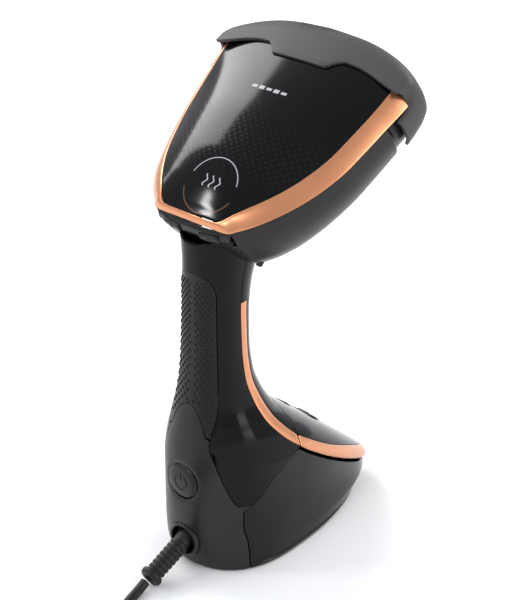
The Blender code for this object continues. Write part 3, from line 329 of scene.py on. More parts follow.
def winding_finish():
    """Lacquered copper wire laid round and round, with painted shade in the grooves between turns and a painted
    highlight on each wire's crest.
    """
    finish = Finish("pump_winding")
    _, _, z = finish.axes(finish.place())
    turns = finish.node("Math", {"operation": "FRACT"}, {0: z / 0.0006})
    wire_profile_and_painted_shade = turns * (1 - turns) * 4.0
    # painted shade darkens the colour between turns and a painted highlight lightens each crest; the same profile
    # drives the bump
    finish.set(base_color=finish.blend(wire_profile_and_painted_shade, (0.22, 0.07, 0.03), (0.55, 0.22, 0.09)), metallic=0.7,
               roughness=0.30 + 0.1 * finish.noise(200.0))
    finish.bump(wire_profile_and_painted_shade, 0.8, 0.0002)
    return finish


def board_finish():
    """Printed circuit board: solder mask with lighter tracks and tinned pads."""
    finish = Finish("circuit_board")
    x, _, _ = finish.axes(finish.place())
    track = finish.node("Math", {"operation": "FRACT"}, {0: x / 0.0031 + finish.noise(40.0, 0.0) * 0.6})
    pad = finish.node("TexVoronoi", values={"Vector": finish.place(), "Scale": 240.0})
    tinned = near(pad, 0.22, 0.08)
    ground = finish.blend(near(track, 0.35, 0.08), (0.012, 0.085, 0.035), (0.03, 0.16, 0.06))
    finish.set(base_color=finish.blend(tinned, ground, (0.60, 0.60, 0.58)), metallic=tinned * 0.8,
               roughness=0.35 + tinned * -0.1)
    return finish


def make_finishes():
    made = {
        "gloss_black": moulded("gloss_black_plastic", (0.0016, 0.0020, 0.0026), 0.10, 0.05, 90.0, 0.00003,
                               specular=0.16),
        "satin_black": moulded("satin_black_plastic", (0.0085, 0.0085, 0.0088), 0.34, 0.10, 1100.0, 0.00003,
                               specular=0.30),
        "guard_grey": moulded("guard_soft_plastic", (0.043, 0.043, 0.044), 0.55, 0.08, 1300.0, 0.00005,
                              specular=0.30),
        "grip_black": moulded("grip_rubber", (0.0022, 0.0022, 0.0025), 0.34, 0.10, 1200.0, 0.00003,
                              specular=0.28),
        "rubber": moulded("foot_rubber", (0.018, 0.018, 0.018), 0.72, 0.10, 800.0, 0.00006),
        "silicone": moulded("hose_silicone", (0.50, 0.49, 0.47), 0.45, 0.10, 600.0, 0.00002),
        "white_plastic": moulded("inner_plastic", (0.58, 0.58, 0.56), 0.42, 0.08, 700.0, 0.00003),
        "steel": metal("spring_steel", (0.55, 0.55, 0.57), 0.30, (1, 1, 0.1)),
        "aluminium": metal("cast_aluminium", (0.60, 0.61, 0.63), 0.46),
        "brass": metal("plug_brass", (0.64, 0.45, 0.18), 0.28, (0.1, 1, 1)),
        "copper": copper_finish(), "smoked_tank": tank_finish(), "cord_black": cord_finish(),
        "plate_coating": plate_finish(), "winding": winding_finish(), "board_green": board_finish(),
    }
    return made


def floor_finish():
    finish = Finish("studio_floor")
    haze = finish.noise(1.2, 2.0)
    finish.set(base_color=finish.blend(haze, (0.86, 0.86, 0.86), (0.90, 0.90, 0.90)), roughness=0.85)
    return finish


# ---------------------------------------------------------------- the outer body's surface

# Level lines of the outer body: height, rear, half width, where it is widest, front of the side wall's
# oval, where the wall meets the copper line, front of the crest.
BODY = (
    (0.0, -70.0, 38.0, -24.0, 66.0, 66.0, 66.0),
    (6.0, -72.4, 38.2, -23.0, 74.0, 74.0, 74.0),
    (12.0, -74.0, 38.4, -22.0, 81.0, 81.0, 82.0),
    (15.0, -74.4, 38.4, -21.5, 80.9, 75.0, 81.6),
    (18.0, -74.8, 38.4, -21.0, 80.6, 68.8, 80.4),
    (24.0, -75.4, 38.4, -20.0, 79.0, 58.0, 74.6),
    (40.0, -76.6, 38.2, -14.0, 70.0, 31.0, 56.0),
    (56.0, -77.0, 37.6, -13.0, 62.0, 6.5, 37.0),
    (69.0, -76.2, 36.8, -20.0, 50.0, -11.0, 21.0),
    (82.0, -74.5, 33.4, -31.0, 30.0, -25.0, 5.0),
    (96.0, -71.8, 28.2, -38.0, 10.0, -35.0, -10.5),
    (110.0, -69.0, 23.4, -42.0, -5.0, -40.0, -19.0),
    (124.0, -66.8, 20.4, -44.0, -12.0, -42.8, -24.0),
    (142.0, -65.4, 18.7, -45.0, -14.0, -43.6, -26.0),
    (160.0, -64.8, 18.0, -45.0, -14.0, -43.6, -25.6),
    (178.0, -64.4, 17.6, -44.0, -12.0, -42.6, -22.6),
    (195.0, -64.4, 18.0, -41.0, -6.0, -39.6, -15.6),
    (226.0, -66.0, 21.0, -36.0, 8.0, -34.0, 2.0),
)
REAR, WIDE, WIDEST, OVAL, EDGE, CREST = range(1, 7)
HEEL_POWER, WALL_POWER = 2.3, 2.2
TOE_HEIGHT = 12.0
# Copper line: height, width along the level line.
STRIP = ((20.0, 27.0), (24.0, 19.0), (40.0, 17.0), (57.0, 12.8), (69.0, 10.7), (79.0, 8.6),
         (105.0, 7.8), (118.0, 6.7), (140.0, 6.0), (172.0, 6.0))
STRIP_TOP = 171.0
# Back edge of the tank: height, y.
TANK_BACK = ((0.0, -52.0), (21.0, -54.0), (31.0, -56.0), (42.0, -55.6), (45.0, -50.5), (51.0, -43.5),
             (57.5, -36.5), (62.0, -29.0), (67.0, -20.0), (70.0, -13.0))
V_TIP = 45.6
SEAM_Y = -12.0
SEAM_TOP = 94.0
RIM_DROP = 2.5
SEAM = 0.3
# Outer edge of the heel's cover and the grip, as a share of the way from the spine to the widest point.
SPINE_EDGE = ((45.6, 0.54), (48.0, 0.505), (62.5, 0.417), (77.5, 0.35), (87.0, 0.31), (94.0, 0.35),
              (102.0, 0.43), (115.0, 0.50), (140.0, 0.53), (165.0, 0.53), (180.0, 0.52), (187.0, 0.42),
              (190.6, 0.25), (192.4, 0.0))
TONGUE = ((92.0, 0.27), (100.0, 0.22), (107.0, 0.13), (111.0, 0.0))
GRIP_TOP = 192.4

# Outer edge of the head trim, right half: x, along the head, height over the head's mid plane.
TRIM_OUTER = ((70.5, 120.4, -12.2), (69.6, 110.0, -11.6), (67.6, 97.0, -10.8), (65.0, 78.0, -9.6),
              (62.0, 61.0, -8.6), (57.3, 45.0, -6.6), (52.0, 32.0, -4.2), (46.0, 21.0, -1.8),
              (38.6, 11.4, -0.2), (31.6, 4.8, 0.8), (27.6, 1.4, 1.6), (20.0, 0.4, 2.6), (0.0, 0.0, 3.6))
TRIM_INNER = ((61.4, 120.4, -3.2), (61.0, 110.0, -3.1), (59.6, 97.5, -2.8), (57.0, 79.5, -2.0),
              (54.2, 63.5, -1.0), (49.6, 48.5, 0.8), (44.8, 36.8, 2.8), (39.0, 26.6, 4.6),
              (32.4, 17.4, 6.0), (27.0, 10.6, 6.6), (22.8, 5.2, 6.4), (17.6, 3.2, 6.2), (0.0, 2.8, 6.8))
CROWN = ((0.0, 6.4), (12.0, 9.2), (25.0, 11.6), (45.0, 13.4), (65.0, 12.6), (88.0, 9.6), (110.0, 6.2),
         (126.0, 3.6))
# Top end of the head, right half, from the side round to the middle: x, along.
HEAD_TOP = ((70.6, 121.0), (68.4, 127.0), (61.5, 132.4), (48.0, 137.8), (29.0, 141.6), (0.0, 143.0))
SHELL_LEVELS = ((0.0, 0.0), (0.8, 0.30), (-0.2, 0.55), (-3.2, 0.80), (-7.8, 1.0))
PLATE_DEPTH = -40.0
PLATE_OUTLINE = ((0.0, 130.0), (27.0, 128.6), (42.5, 124.0), (51.0, 115.6), (53.4, 104.0), (51.4, 86.0),
                 (47.6, 66.0), (40.6, 48.0), (29.0, 34.0), (15.0, 28.0), (0.0, 26.5))
GUARD_PROUD = 3.0
GUARD_WALL = 2.4
GUARD_SIDE = 104.0
GUARD_EDGE = 121.8
GAP = 0.35

BUTTON_Z = 60.0
BUTTON_RADIUS = 11.0
DISH_RADIUS = 14.2
CORD_EXIT_Z = 19.0
CORD_DROOP = 23.0
LOCK_AT = (0.0, -15.8, 193.6)
LOCK_LEAN = 24.0


def smooth(table, at, column=1):
    """Value of a table's column at a height, on a curve through the rows that never overshoots."""
    if at <= table[0][0]:
        return table[0][column]
    if at >= table[-1][0]:
        return table[-1][column]
    i = max(k for k in range(len(table) - 1) if table[k][0] <= at)

    def slope(k):
        return (table[k + 1][column] - table[k][column]) / (table[k + 1][0] - table[k][0])

    def tangent(k):
        if k == 0 or k == len(table) - 1:
            return slope(min(k, len(table) - 2))
        before, after = slope(k - 1), slope(k)
        return 0.0 if before * after <= 0 else 2 * before * after / (before + after)

    width = table[i + 1][0] - table[i][0]
    t = (at - table[i][0]) / width
    start, end = table[i][column], table[i + 1][column]
    return ((1 + 2 * t) * (1 - t) ** 2 * start + t * (1 - t) ** 2 * width * tangent(i)
            + t * t * (3 - 2 * t) * end + t * t * (t - 1) * width * tangent(i + 1))


def spline(points, steps):
    """Points of a smooth curve through the given points, with so many steps between neighbours."""
    line = [Vector(p) for p in points]
    ends = [2 * line[0] - line[1], *line, 2 * line[-1] - line[-2]]
    made = []
    for i in range(1, len(ends) - 2):
        a, b, c, d = ends[i - 1:i + 3]
        for k in range(steps):
            t = k / steps
            made.append(0.5 * (2 * b + (c - a) * t + (2 * a - 5 * b + 4 * c - d) * t * t
                               + (3 * b - a - 3 * c + d) * t ** 3))
    return [*made, line[-1]]


def lerp(a, b, t):
    return a + (b - a) * t


def ease(low, high, value):
    """0 under the low end, 1 over the high end, smooth between."""
    t = min(1.0, max(0.0, (value - low) / (high - low)))
    return t * t * (3 - 2 * t)


@functools.lru_cache(None)
def level(z, column):
    return smooth(BODY, z, column)


def wall_x(z, y):
    """Half width of the side wall in front of the widest point."""
    reach = (y - level(z, WIDEST)) / (level(z, OVAL) - level(z, WIDEST))
    return level(z, WIDE) * max(0.0, 1 - max(0.0, reach) ** WALL_POWER) ** (1 / WALL_POWER)


@functools.lru_cache(None)
def body_at(z, u):
    rear, wide, widest = level(z, REAR), level(z, WIDE), level(z, WIDEST)
    edge = level(z, EDGE)
    if u <= 1:
        a = u * math.pi / 2
        x = wide * math.sin(a) ** (2 / HEEL_POWER)
        y = widest - (widest - rear) * max(0.0, math.cos(a)) ** (2 / HEEL_POWER)
    elif u <= 2:
        y = lerp(widest, edge, 1 - (2 - u) ** 1.6)
        x = wall_x(z, y)
    else:
        a = (u - 2) * math.pi / 2
        x = wall_x(z, edge) * max(0.0, math.cos(a))
        y = lerp(edge, level(z, CREST), math.sin(a))
    return (0.0 if x < 1e-6 else x, y, z)


def body_point(z, u):
    """Right half of a level line: 0 the spine, 1 the widest point, 2 the copper line, 3 the crest."""
    return Vector(body_at(z, u))


@functools.lru_cache(None)
def way_to(z, y, low=0.0, high=3.0):
    """How far round the level line its y is reached."""
    for _ in range(40):
        mid = (low + high) / 2
        low, high = (mid, high) if body_at(z, mid)[1] < y else (low, mid)
    return low


@functools.lru_cache(None)
def way_along(z, start, distance):
    """How far round the level line lies a distance past a start."""
    u, left, here = start, distance, body_point(z, start)
    while left > 0 and u < 3:
        step = body_point(z, min(3.0, u + 0.01))
        reach = (step - here).length
        u += 0.01 * min(1.0, left / reach)
        left, here = left - reach, step
    return min(3.0, u)


def strip_inner(z):
    return 3.0 if z <= TOE_HEIGHT + 8 else way_along(z, 2.0, smooth(STRIP, z))


def tank_back(z):
    return way_to(z, smooth(TANK_BACK, z))


def spine_edge(z):
    return smooth(SPINE_EDGE, z)


def inset_way(z, u, distance):
    """A way round the level line moved by a distance, forwards if positive."""
    reach = (body_point(z, u + 0.004) - body_point(z, u)).length
    return u + distance * 0.004 / max(0.01, reach)


def body_normal(z, u):
    up = body_point(z + 1.5, u) - body_point(z - 1.5, u)
    if body_point(z, u).x == 0.0:
        return Vector((0.0, up.z, -up.y)).normalized() * (1 if u > 1.5 else -1)
    around = body_point(z, min(3.0, u + 0.02)) - body_point(z, max(0.0, u - 0.02))
    return around.cross(up).normalized()


# ---------------------------------------------------------------- making pieces

def steps(low, high, pitch):
    count = max(1, round((high - low) / pitch))
    return [lerp(low, high, k / count) for k in range(count + 1)]


def pick(values, share):
    """Value part of the way down a list."""
    spot = min(max(share, 0.0), 1.0) * (len(values) - 1)
    k = min(int(spot + 1e-4), len(values) - 2)
    t = spot - k
    return lerp(values[k], values[k + 1], 0.0 if abs(t) < 1e-4 else 1.0 if abs(t - 1) < 1e-4 else t)


def sheet(columns, rows, place):
    """Sheet of squares laid out by place(across, up), both 0 to 1, in millimetres."""
    bm = bmesh.new()
    bm.loops.layers.uv.new("UVMap")
    bmesh.ops.create_grid(bm, x_segments=columns, y_segments=rows, size=0.5, calc_uvs=True)
    low = min(v.co.x for v in bm.verts)
    for vert in bm.verts:
        across, up = (round(c / (-2 * low) + 0.5, 5) for c in vert.co.xy)
        vert.co = place(across, up)
    bmesh.ops.remove_doubles(bm, verts=bm.verts, dist=0.004)
    return bm


def body_sheet(heights, start, end, columns, lift=None):
    """Right half of a cover between two edges of the body's surface, each a function of the height."""
    @functools.lru_cache(None)
    def ends(z):
        return start(z), end(z)

    def place(across, up):
        z = pick(heights, up)
        first, last = ends(z)
        u = lerp(first, last, across)
        p = body_point(z, u)
        return p + body_normal(z, u) * lift(z, u, across, p) if lift else p

    return sheet(columns, len(heights) - 1, place)


def join(bm, other):
    """Adds another bmesh to one."""
    mesh = bpy.data.meshes.new("joined")
    other.to_mesh(mesh)
    other.free()
    bm.from_mesh(mesh)
    bpy.data.meshes.remove(mesh)
    return bm


def mirrored(bm):
    bmesh.ops.mirror(bm, geom=bm.verts[:] + bm.edges[:] + bm.faces[:], axis="X", merge_dist=0.01)
    bmesh.ops.remove_doubles(bm, verts=bm.verts, dist=0.004)
    return bm


def facing(bm, outside):
    """Turns an open sheet's faces so that the one nearest a point outside faces it."""
    bmesh.ops.recalc_face_normals(bm, faces=bm.faces)
    away = Vector(outside)
    near_one = min(bm.faces, key=lambda f: (f.calc_center_median() - away).length)
    if near_one.normal.dot(away - near_one.calc_center_median()) < 0:
        bmesh.ops.reverse_faces(bm, faces=bm.faces)
    return bm


def link(name, bm, matrix):
    bmesh.ops.transform(bm, matrix=matrix, verts=bm.verts)
    mesh = bpy.data.meshes.new(name)
    bm.to_mesh(mesh)
    bm.free()
    obj = bpy.data.objects.new(name, mesh)
    bpy.context.scene.collection.objects.link(obj)
    return obj


def piece(name, bm, finish, body, nodes, matrix=AT_REST, wall=0.0, bevel=0.0, holes=(), angle=32.0):
    """Finished piece: takes its wall, holes and rounded edges, then rides on its body."""
    obj = link(name, bm, PACKED @ matrix)
    cutters = [link("cutter", hole, PACKED @ matrix) for hole in holes]
    if wall:
        solid = obj.modifiers.new("wall", "SOLIDIFY")
        solid.thickness, solid.offset, solid.use_even_offset = wall * MM, -1, False
    for cutter in cutters:
        hole = obj.modifiers.new("hole", "BOOLEAN")
        hole.object, hole.solver = cutter, "EXACT"
    if bevel:
        rounded = obj.modifiers.new("edges", "BEVEL")
        rounded.width, rounded.segments = bevel * MM, 2
        rounded.limit_method, rounded.angle_limit = "ANGLE", math.radians(48)
    if obj.modifiers:
        depsgraph = bpy.context.evaluated_depsgraph_get()
        done = bpy.data.meshes.new_from_object(obj.evaluated_get(depsgraph), depsgraph=depsgraph)
        obj.modifiers.clear()
        obj.data = done
    for cutter in cutters:
        bpy.data.objects.remove(cutter)
    obj.data.shade_smooth()
    obj.data.set_sharp_from_angle(angle=math.radians(angle))
    obj.data.materials.clear()
    obj.data.materials.append(finish.material)
    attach(obj, body)
    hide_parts(*nodes)
    return obj


def spun(profile, steps_round=48, at=(0, 0, 0), tilt=0.0):
    """Solid turned about its own z from (radius, height) points, top first; tilt leans it about x."""
    bm = bmesh.new()
    line = [bm.verts.new((r, 0, z)) for r, z in profile]
    closed = profile[0][0] > 0 and profile[-1][0] > 0
    edges = [bm.edges.new(pair) for pair in zip(line, line[1:] + (line[:1] if closed else []))]
    bmesh.ops.spin(bm, geom=line + edges, cent=(0, 0, 0), axis=(0, 0, 1), angle=2 * math.pi,
                   steps=steps_round, use_merge=True)
    bmesh.ops.remove_doubles(bm, verts=bm.verts, dist=0.002)
    bmesh.ops.recalc_face_normals(bm, faces=bm.faces)
    turn = Matrix.Translation(at) @ Matrix.Rotation(math.radians(tilt), 4, "X")
    bmesh.ops.transform(bm, matrix=turn, verts=bm.verts)
    return bm


def block(size, at, bevel=0.0, tilt=0.0, turn=0.0, segments=3):
    """Box with rounded edges."""
    bm = bmesh.new()
    bmesh.ops.create_cube(bm, size=1.0)
    bmesh.ops.scale(bm, vec=size, verts=bm.verts)
    if bevel:
        bmesh.ops.bevel(bm, geom=bm.edges[:], offset=bevel, offset_type="OFFSET", segments=segments,
                        profile=0.5, affect="EDGES", material=-1)
    place = Matrix.Translation(at) @ Matrix.Rotation(math.radians(tilt), 4, "X") \
        @ Matrix.Rotation(math.radians(turn), 4, "Z")
    bmesh.ops.transform(bm, matrix=place, verts=bm.verts)
    return bm


def bar(start, end, radius, sides=32):
    """Round rod between two points."""
    a, b = Vector(start), Vector(end)
    bm = bmesh.new()
    bmesh.ops.create_cone(bm, cap_ends=True, segments=sides, radius1=radius, radius2=radius,
                          depth=(b - a).length)
    turn = Vector((0, 0, 1)).rotation_difference(b - a).to_matrix().to_4x4()
    bmesh.ops.transform(bm, matrix=Matrix.Translation((a + b) / 2) @ turn, verts=bm.verts)
    return bm


def prism(outline, low, high):
    """Closed outline of (x, y) points raised between two heights."""
    bm = bmesh.new()
    bm.faces.new([bm.verts.new((x, y, low)) for x, y in outline])
    raised = bmesh.ops.extrude_face_region(bm, geom=bm.faces[:])["geom"]
    bmesh.ops.translate(bm, verts=[v for v in raised if isinstance(v, bmesh.types.BMVert)],
                        vec=(0, 0, high - low))
    bmesh.ops.recalc_face_normals(bm, faces=bm.faces)
    return bm


# ---------------------------------------------------------------- base and handle

def dished(z, u, across, p):
    """Round dish that the power key sits in."""
    reach = math.hypot(p.x, z - BUTTON_Z)
    return -2.1 * max(0.0, 1 - (reach / DISH_RADIUS) ** 2)


def heel(f):
    def edge(z):
        if z < V_TIP:
            return inset_way(z, tank_back(z), -2 * SEAM)
        if z < 91.0:
            return inset_way(z, spine_edge(z), -SEAM)
        return inset_way(z, smooth(TONGUE, z), -SEAM)

    heights = [*steps(0.9, 45.2, 1.1), *steps(46.0, 74.5, 0.8), *steps(75.5, 105.0, 1.2),
               *steps(105.6, 110.2, 0.5)]
    bm = facing(mirrored(body_sheet(heights, lambda z: 0.0, edge, 40, dished)), (0, -300, 60))
    face = level(BUTTON_Z, REAR)
    holes = [bar((0, face - 8, BUTTON_Z), (0, face + 12, BUTTON_Z), BUTTON_RADIUS + GAP, 64),
             bar((0, -90, CORD_EXIT_Z), (0, -62, CORD_EXIT_Z), 11.0 + GAP, 48)]
    return piece("heel_cover", bm, f["satin_black"], "housing", ["rear_shell"], wall=1.6,
                 bevel=0.35, holes=holes)


def grip(f):
    def inner(z):
        return inset_way(z, smooth(TONGUE, z), SEAM) if z < 111 else 0.0

    def outer(z):
        return max(0.02, inset_way(z, spine_edge(z), -SEAM)) if z < GRIP_TOP - 0.2 else 0.0

    heights = [*steps(92.4, 112.0, 0.8), *steps(114.0, 182.0, 2.0), *steps(183.0, 189.0, 0.75),
               *steps(189.4, GRIP_TOP - 0.3, 0.3)]
    bm = facing(mirrored(body_sheet(heights, inner, outer, 18)), (0, -300, 140))
    piece("grip_rubber", bm, f["grip_black"], "housing", ["grip_panel"], wall=1.8, bevel=0.3)

    dots = bmesh.new()
    z, row = 186.5, 0
    while z > 99.0:
        spread = 3.2 + 1.5 * ease(175, 100, z) if z < 175 else 3.2
        apart = 3.1 + 1.3 * (186.5 - z) / 87.0
        limit = outer(z)
        edge = sum((body_point(z, limit * (k + 1) / 12) - body_point(z, limit * k / 12)).length
                   for k in range(12))
        away = apart * (0.5 if row % 2 else 1.0) + 0.4
        while away < edge - 1.3:
            u = way_along(z, 0.0, away)
            clear_of_tongue = z > 112 or u > inner(z) + 0.04
            if clear_of_tongue:
                p, n = body_point(z, u), body_normal(z, u)
                turn = Vector((0, 0, 1)).rotation_difference(n).to_matrix().to_4x4()
                wide = 0.92 + 0.28 * (186.5 - z) / 87.0
                for side in (1, -1):
                    place = Matrix.Diagonal((side, 1, 1, 1)) @ Matrix.Translation(p) @ turn \
                        @ Matrix.Diagonal((wide, wide, 0.62, 1))
                    bmesh.ops.create_uvsphere(dots, u_segments=8, v_segments=5, radius=1.0, matrix=place)
            away += apart
        z -= spread * 0.62
        row += 1
    bmesh.ops.recalc_face_normals(dots, faces=dots.faces)
    return piece("grip_dots", dots, f["grip_black"], "housing", ["grip_panel"], angle=60.0)


def handle(f, bar_hole):
    def inner(z):
        return 0.0 if z > GRIP_TOP + 0.3 else inset_way(z, spine_edge(z), SEAM)

    def outer(z):
        return inset_way(z, tank_back(z), -2 * SEAM) if z < 70.0 else inset_way(z, 2.0, -SEAM)

    heights = [*steps(46.0, 69.8, 0.8), *steps(70.2, 96.0, 1.1), *steps(98.0, 182.0, 2.2),
               *steps(183.0, 189.0, 0.75), *steps(189.4, 192.6, 0.3), *steps(193.0, 216.0, 1.6)]
    bm = facing(mirrored(body_sheet(heights, inner, outer, 26)), (0, -300, 210))
    return piece("handle_back", bm, f["gloss_black"], "housing", ["handle_shell"], wall=1.6,
                 bevel=0.3, holes=[bar_hole])


def handle_front(f, hull):
    def outer(z):
        return inset_way(z, 2.0 if z > STRIP_TOP else strip_inner(z), SEAM)

    def inner(z):
        return 3.0 if z > SEAM_TOP + 1.5 else way_to(z, SEAM_Y - SEAM, 2.0)

    heights = [*steps(79.0, 98.0, 0.8), *steps(100.0, 168.0, 2.2), *steps(169.0, 173.0, 0.5),
               *steps(175.0, 216.0, 1.8)]
    bm = facing(mirrored(body_sheet(heights, outer, inner, 20)), (0, 300, 140))
    window = block((20.4, 40.0, 44.2), (0, -14.0, 163.1), 2.0)
    lock_hole = block((7.8, 14.0, 12.6), LOCK_AT, 0.0, -LOCK_LEAN)
    return piece("handle_front", bm, f["gloss_black"], "housing", ["front_cover"], wall=1.6,
                 bevel=0.3, holes=[hull, window, lock_hole])


def crowned(height):
    """Lift that bulges a narrow band across its width."""
    return lambda z, u, across, p: height * (1 - (2 * across - 1) ** 2) ** 0.7


def handle_trims(f):
    def outer(z):
        return inset_way(z, 2.0, SEAM)

    def inner(z):
        edge = inset_way(z, strip_inner(z), -SEAM)
        return min(edge, way_to(z, SEAM_Y - SEAM, 2.0)) if z < 90 else edge

    for name, side in (("handle_trim_right", 1), ("handle_trim_left", -1)):
        heights = [*steps(71.4, 100.0, 0.9), *steps(102.0, STRIP_TOP, 2.0)]
        bm = body_sheet(heights, outer, inner, 10, crowned(0.45))
        bmesh.ops.scale(bm, vec=(side, 1, 1), verts=bm.verts)
        piece(name.replace("trim", "copper"), facing(bm, (side * 200, 0, 120)), f["copper"], "housing",
              [name], wall=1.5, bevel=0.2)


def trigger(f):
    """Curved finger key with a lip at its lower end and two finger grooves."""
    def place(across, up):
        z = lerp(184.0, 143.0, up)
        bulge = 2.6 * math.sin(math.pi * min(1.0, up * 8 / 7)) + 1.2 * up + 1.2 * ease(0.9, 1.0, up)
        a = (2 * across - 1) * math.radians(50)
        y = lerp(level(z, EDGE), level(z, CREST), math.cos(a)) + bulge
        groove = 0.5 * math.exp(-((up - 0.33) / 0.05) ** 2) + 0.5 * math.exp(-((up - 0.66) / 0.05) ** 2)
        return Vector((9.6 * math.sin(a) / math.sin(math.radians(50)), y - groove, z))

    bm = facing(sheet(18, 44, place), (0, 200, 160))
    piece("steam_trigger_key", bm, f["satin_black"], "trigger", ["steam_trigger"], wall=2.6,
          bevel=0.5)
    lock = block((7.0, 4.4, 9.0), (0, 0, 0), 0.9)
    for k in range(-2, 3):
        join(lock, block((5.6, 0.7, 0.8), (0, 2.3, 1.5 * k), 0.3, segments=2))
    place_lock = Matrix.Translation(LOCK_AT) @ Matrix.Rotation(math.radians(-LOCK_LEAN), 4, "X")
    bmesh.ops.transform(lock, matrix=place_lock, verts=lock.verts)
    piece("trigger_lock_slide", lock, f["satin_black"], "lock", ["trigger_lock"])


def spring(name, node, turns, radius, wire, start, end, centre, f):
    """Round wire wound about an axis along y."""
    x, z = centre
    rounds = turns * 20

    def place(across, up):
        a = up * turns * 2 * math.pi
        middle = Vector((x + radius * math.cos(a), lerp(start, end, up), z + radius * math.sin(a)))
        outward = Vector((math.cos(a), 0, math.sin(a)))
        b = across * 2 * math.pi
        return middle + outward * (wire * math.cos(b)) + Vector((0, wire * math.sin(b), 0))

    bm = sheet(8, rounds, place)
    bmesh.ops.holes_fill(bm, edges=bm.edges, sides=12)
    bmesh.ops.recalc_face_normals(bm, faces=bm.faces)
    made = piece(name, bm, f["steel"], "housing", [node], angle=60.0)
    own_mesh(made)


# ---------------------------------------------------------------- water tank

def tank_cup(f):
    def back(z):
        return inset_way(z, tank_back(z), SEAM)

    def front(z):
        return way_to(z, level(z + RIM_DROP, EDGE), 1.0, 2.0) if z + RIM_DROP > TOE_HEIGHT else 2.0

    def lip(z, u, across, p):
        return 0.55 * math.exp(-((z - 2.9) / 0.75) ** 2) * ease(0.0, 0.08, across)

    heights = [*steps(0.9, 5.3, 0.4), *steps(6.0, 12.0, 0.6), *steps(13.0, 60.0, 1.3),
               *steps(61.0, 68.6, 0.7)]
    bm = body_sheet(heights, back, front, 56, lip)

    def rear(across, up):
        z = pick(heights, up)
        p = body_point(z, back(z))
        return Vector((p.x * (1 - across), p.y, z))

    def underneath(across, up):
        z = heights[0]
        p = body_point(z, lerp(back(z), front(z), up))
        return Vector((p.x * (1 - across), p.y, z))

    join(bm, sheet(8, len(heights) - 1, rear))
    join(bm, sheet(8, 56, underneath))
    bmesh.ops.remove_doubles(bm, verts=bm.verts, dist=0.05)
    bm = facing(mirrored(bm), (200, 0, 20))
    return piece("tank_cup", bm, f["smoked_tank"], "tank", ["water_tank"], wall=1.6, bevel=0.3)


def tank_ring(f):
    def outer(z):
        return max(inset_way(z, 2.0, SEAM), way_to(z, SEAM_Y + SEAM, 2.0))

    def inner(z):
        return inset_way(z, strip_inner(z), -SEAM) if z > TOE_HEIGHT + 8 else 3.0

    heights = [*steps(12.6, 19.8, 0.6), *steps(20.1, 24.0, 0.35), *steps(25.0, 76.0, 1.0)]
    bm = facing(mirrored(body_sheet(heights, outer, inner, 12, crowned(0.5))), (0, 300, 80))
    return piece("tank_copper", bm, f["copper"], "tank", ["tank_rim"], wall=1.5, bevel=0.2)


def crest_frame():
    """Frame on the crest of the tank's cover: z out of it, y along it."""
    z = 58.0
    slope = math.degrees(math.atan2(level(z + 4, CREST) - level(z - 4, CREST), 8.0))
    return Matrix.Translation((0, level(z, CREST), z)) @ Matrix.Rotation(math.radians(-90.0 - slope), 4, "X")


def tank_top(f):
    def outer(z):
        return max(inset_way(z, strip_inner(z), SEAM), way_to(z, SEAM_Y + SEAM, 2.0))

    frame_at = crest_frame()
    cap_hole = bar((0, -3.0, -8.0), (0, -3.0, 8.0), 11.4 + GAP, 56)
    key_hole = block((12.8, 6.2, 16.0), (0, -29.0, -1.9))
    for hole in (cap_hole, key_hole):
        bmesh.ops.transform(hole, matrix=frame_at, verts=hole.verts)
    heights = [*steps(20.9, 24.0, 0.4), *steps(25.0, 93.6, 1.1)]
    bm = facing(mirrored(body_sheet(heights, outer, lambda z: 3.0, 26)), (0, 300, 80))
    piece("tank_cover_panel", bm, f["gloss_black"], "tank", ["tank_cover"], wall=1.5,
          bevel=0.3, holes=[cap_hole, key_hole])

    cap = spun(((0, 0.1), (5.4, 0.1), (6.0, 0.55), (8.6, 0.5), (10.2, 0.2), (11.0, -0.3), (11.4, -0.8),
                (11.4, -2.2), (8.0, -2.2), (8.0, -5.0), (0, -5.0)), 56, (0, -3.0, 0))
    join(cap, block((9.0, 1.6, 1.3), (0, -3.0, 0.45), 0.45))
    piece("fill_cap_lid", cap, f["gloss_black"], "cap", ["fill_cap"], frame_at)
    key = block((12.0, 5.4, 4.0), (0, -29.0, -1.9), 0.7)
    for k in range(-1, 2):
        join(key, block((8.4, 0.6, 0.7), (0, -29.0 + 1.3 * k, 0.1), 0.25, segments=2))
    piece("tank_release_key", key, f["guard_grey"], "release", ["tank_release"], frame_at)


def power_key(f):
    face = level(BUTTON_Z, REAR)
    dome = spun(((0, 1.5), (2.0, 1.48), (4.0, 1.40), (6.0, 1.25), (8.0, 0.98), (9.4, 0.68), (10.3, 0.3),
                 (BUTTON_RADIUS, -0.5), (BUTTON_RADIUS, -2.0), (0, -2.0)), 64)
    ring = bmesh.new()
    loop = [ring.verts.new((r, 0, z)) for r, z in ((4.3, 3.0), (5.1, 3.0), (5.1, 0.9), (4.3, 0.9))]
    ring.faces.new(loop)
    opening = math.radians(32)
    turned = Matrix.Rotation(math.pi / 2 + opening, 3, "Z")
    bmesh.ops.rotate(ring, verts=ring.verts, cent=(0, 0, 0), matrix=turned)
    bmesh.ops.spin(ring, geom=ring.verts[:] + ring.edges[:] + ring.faces[:], cent=(0, 0, 0), axis=(0, 0, 1),
                   angle=2 * math.pi - 2 * opening, steps=40)
    bmesh.ops.recalc_face_normals(ring, faces=ring.faces)
    stroke = block((0.8, 4.4, 2.1), (0, 4.0, 1.95))
    place = Matrix.Translation((0, face + 1.2, BUTTON_Z)) @ Matrix.Rotation(math.radians(90), 4, "X")
    piece("power_key_dome", dome, f["satin_black"], "power_key", ["power_button"], place,
          holes=[ring, stroke])


# ---------------------------------------------------------------- steam head

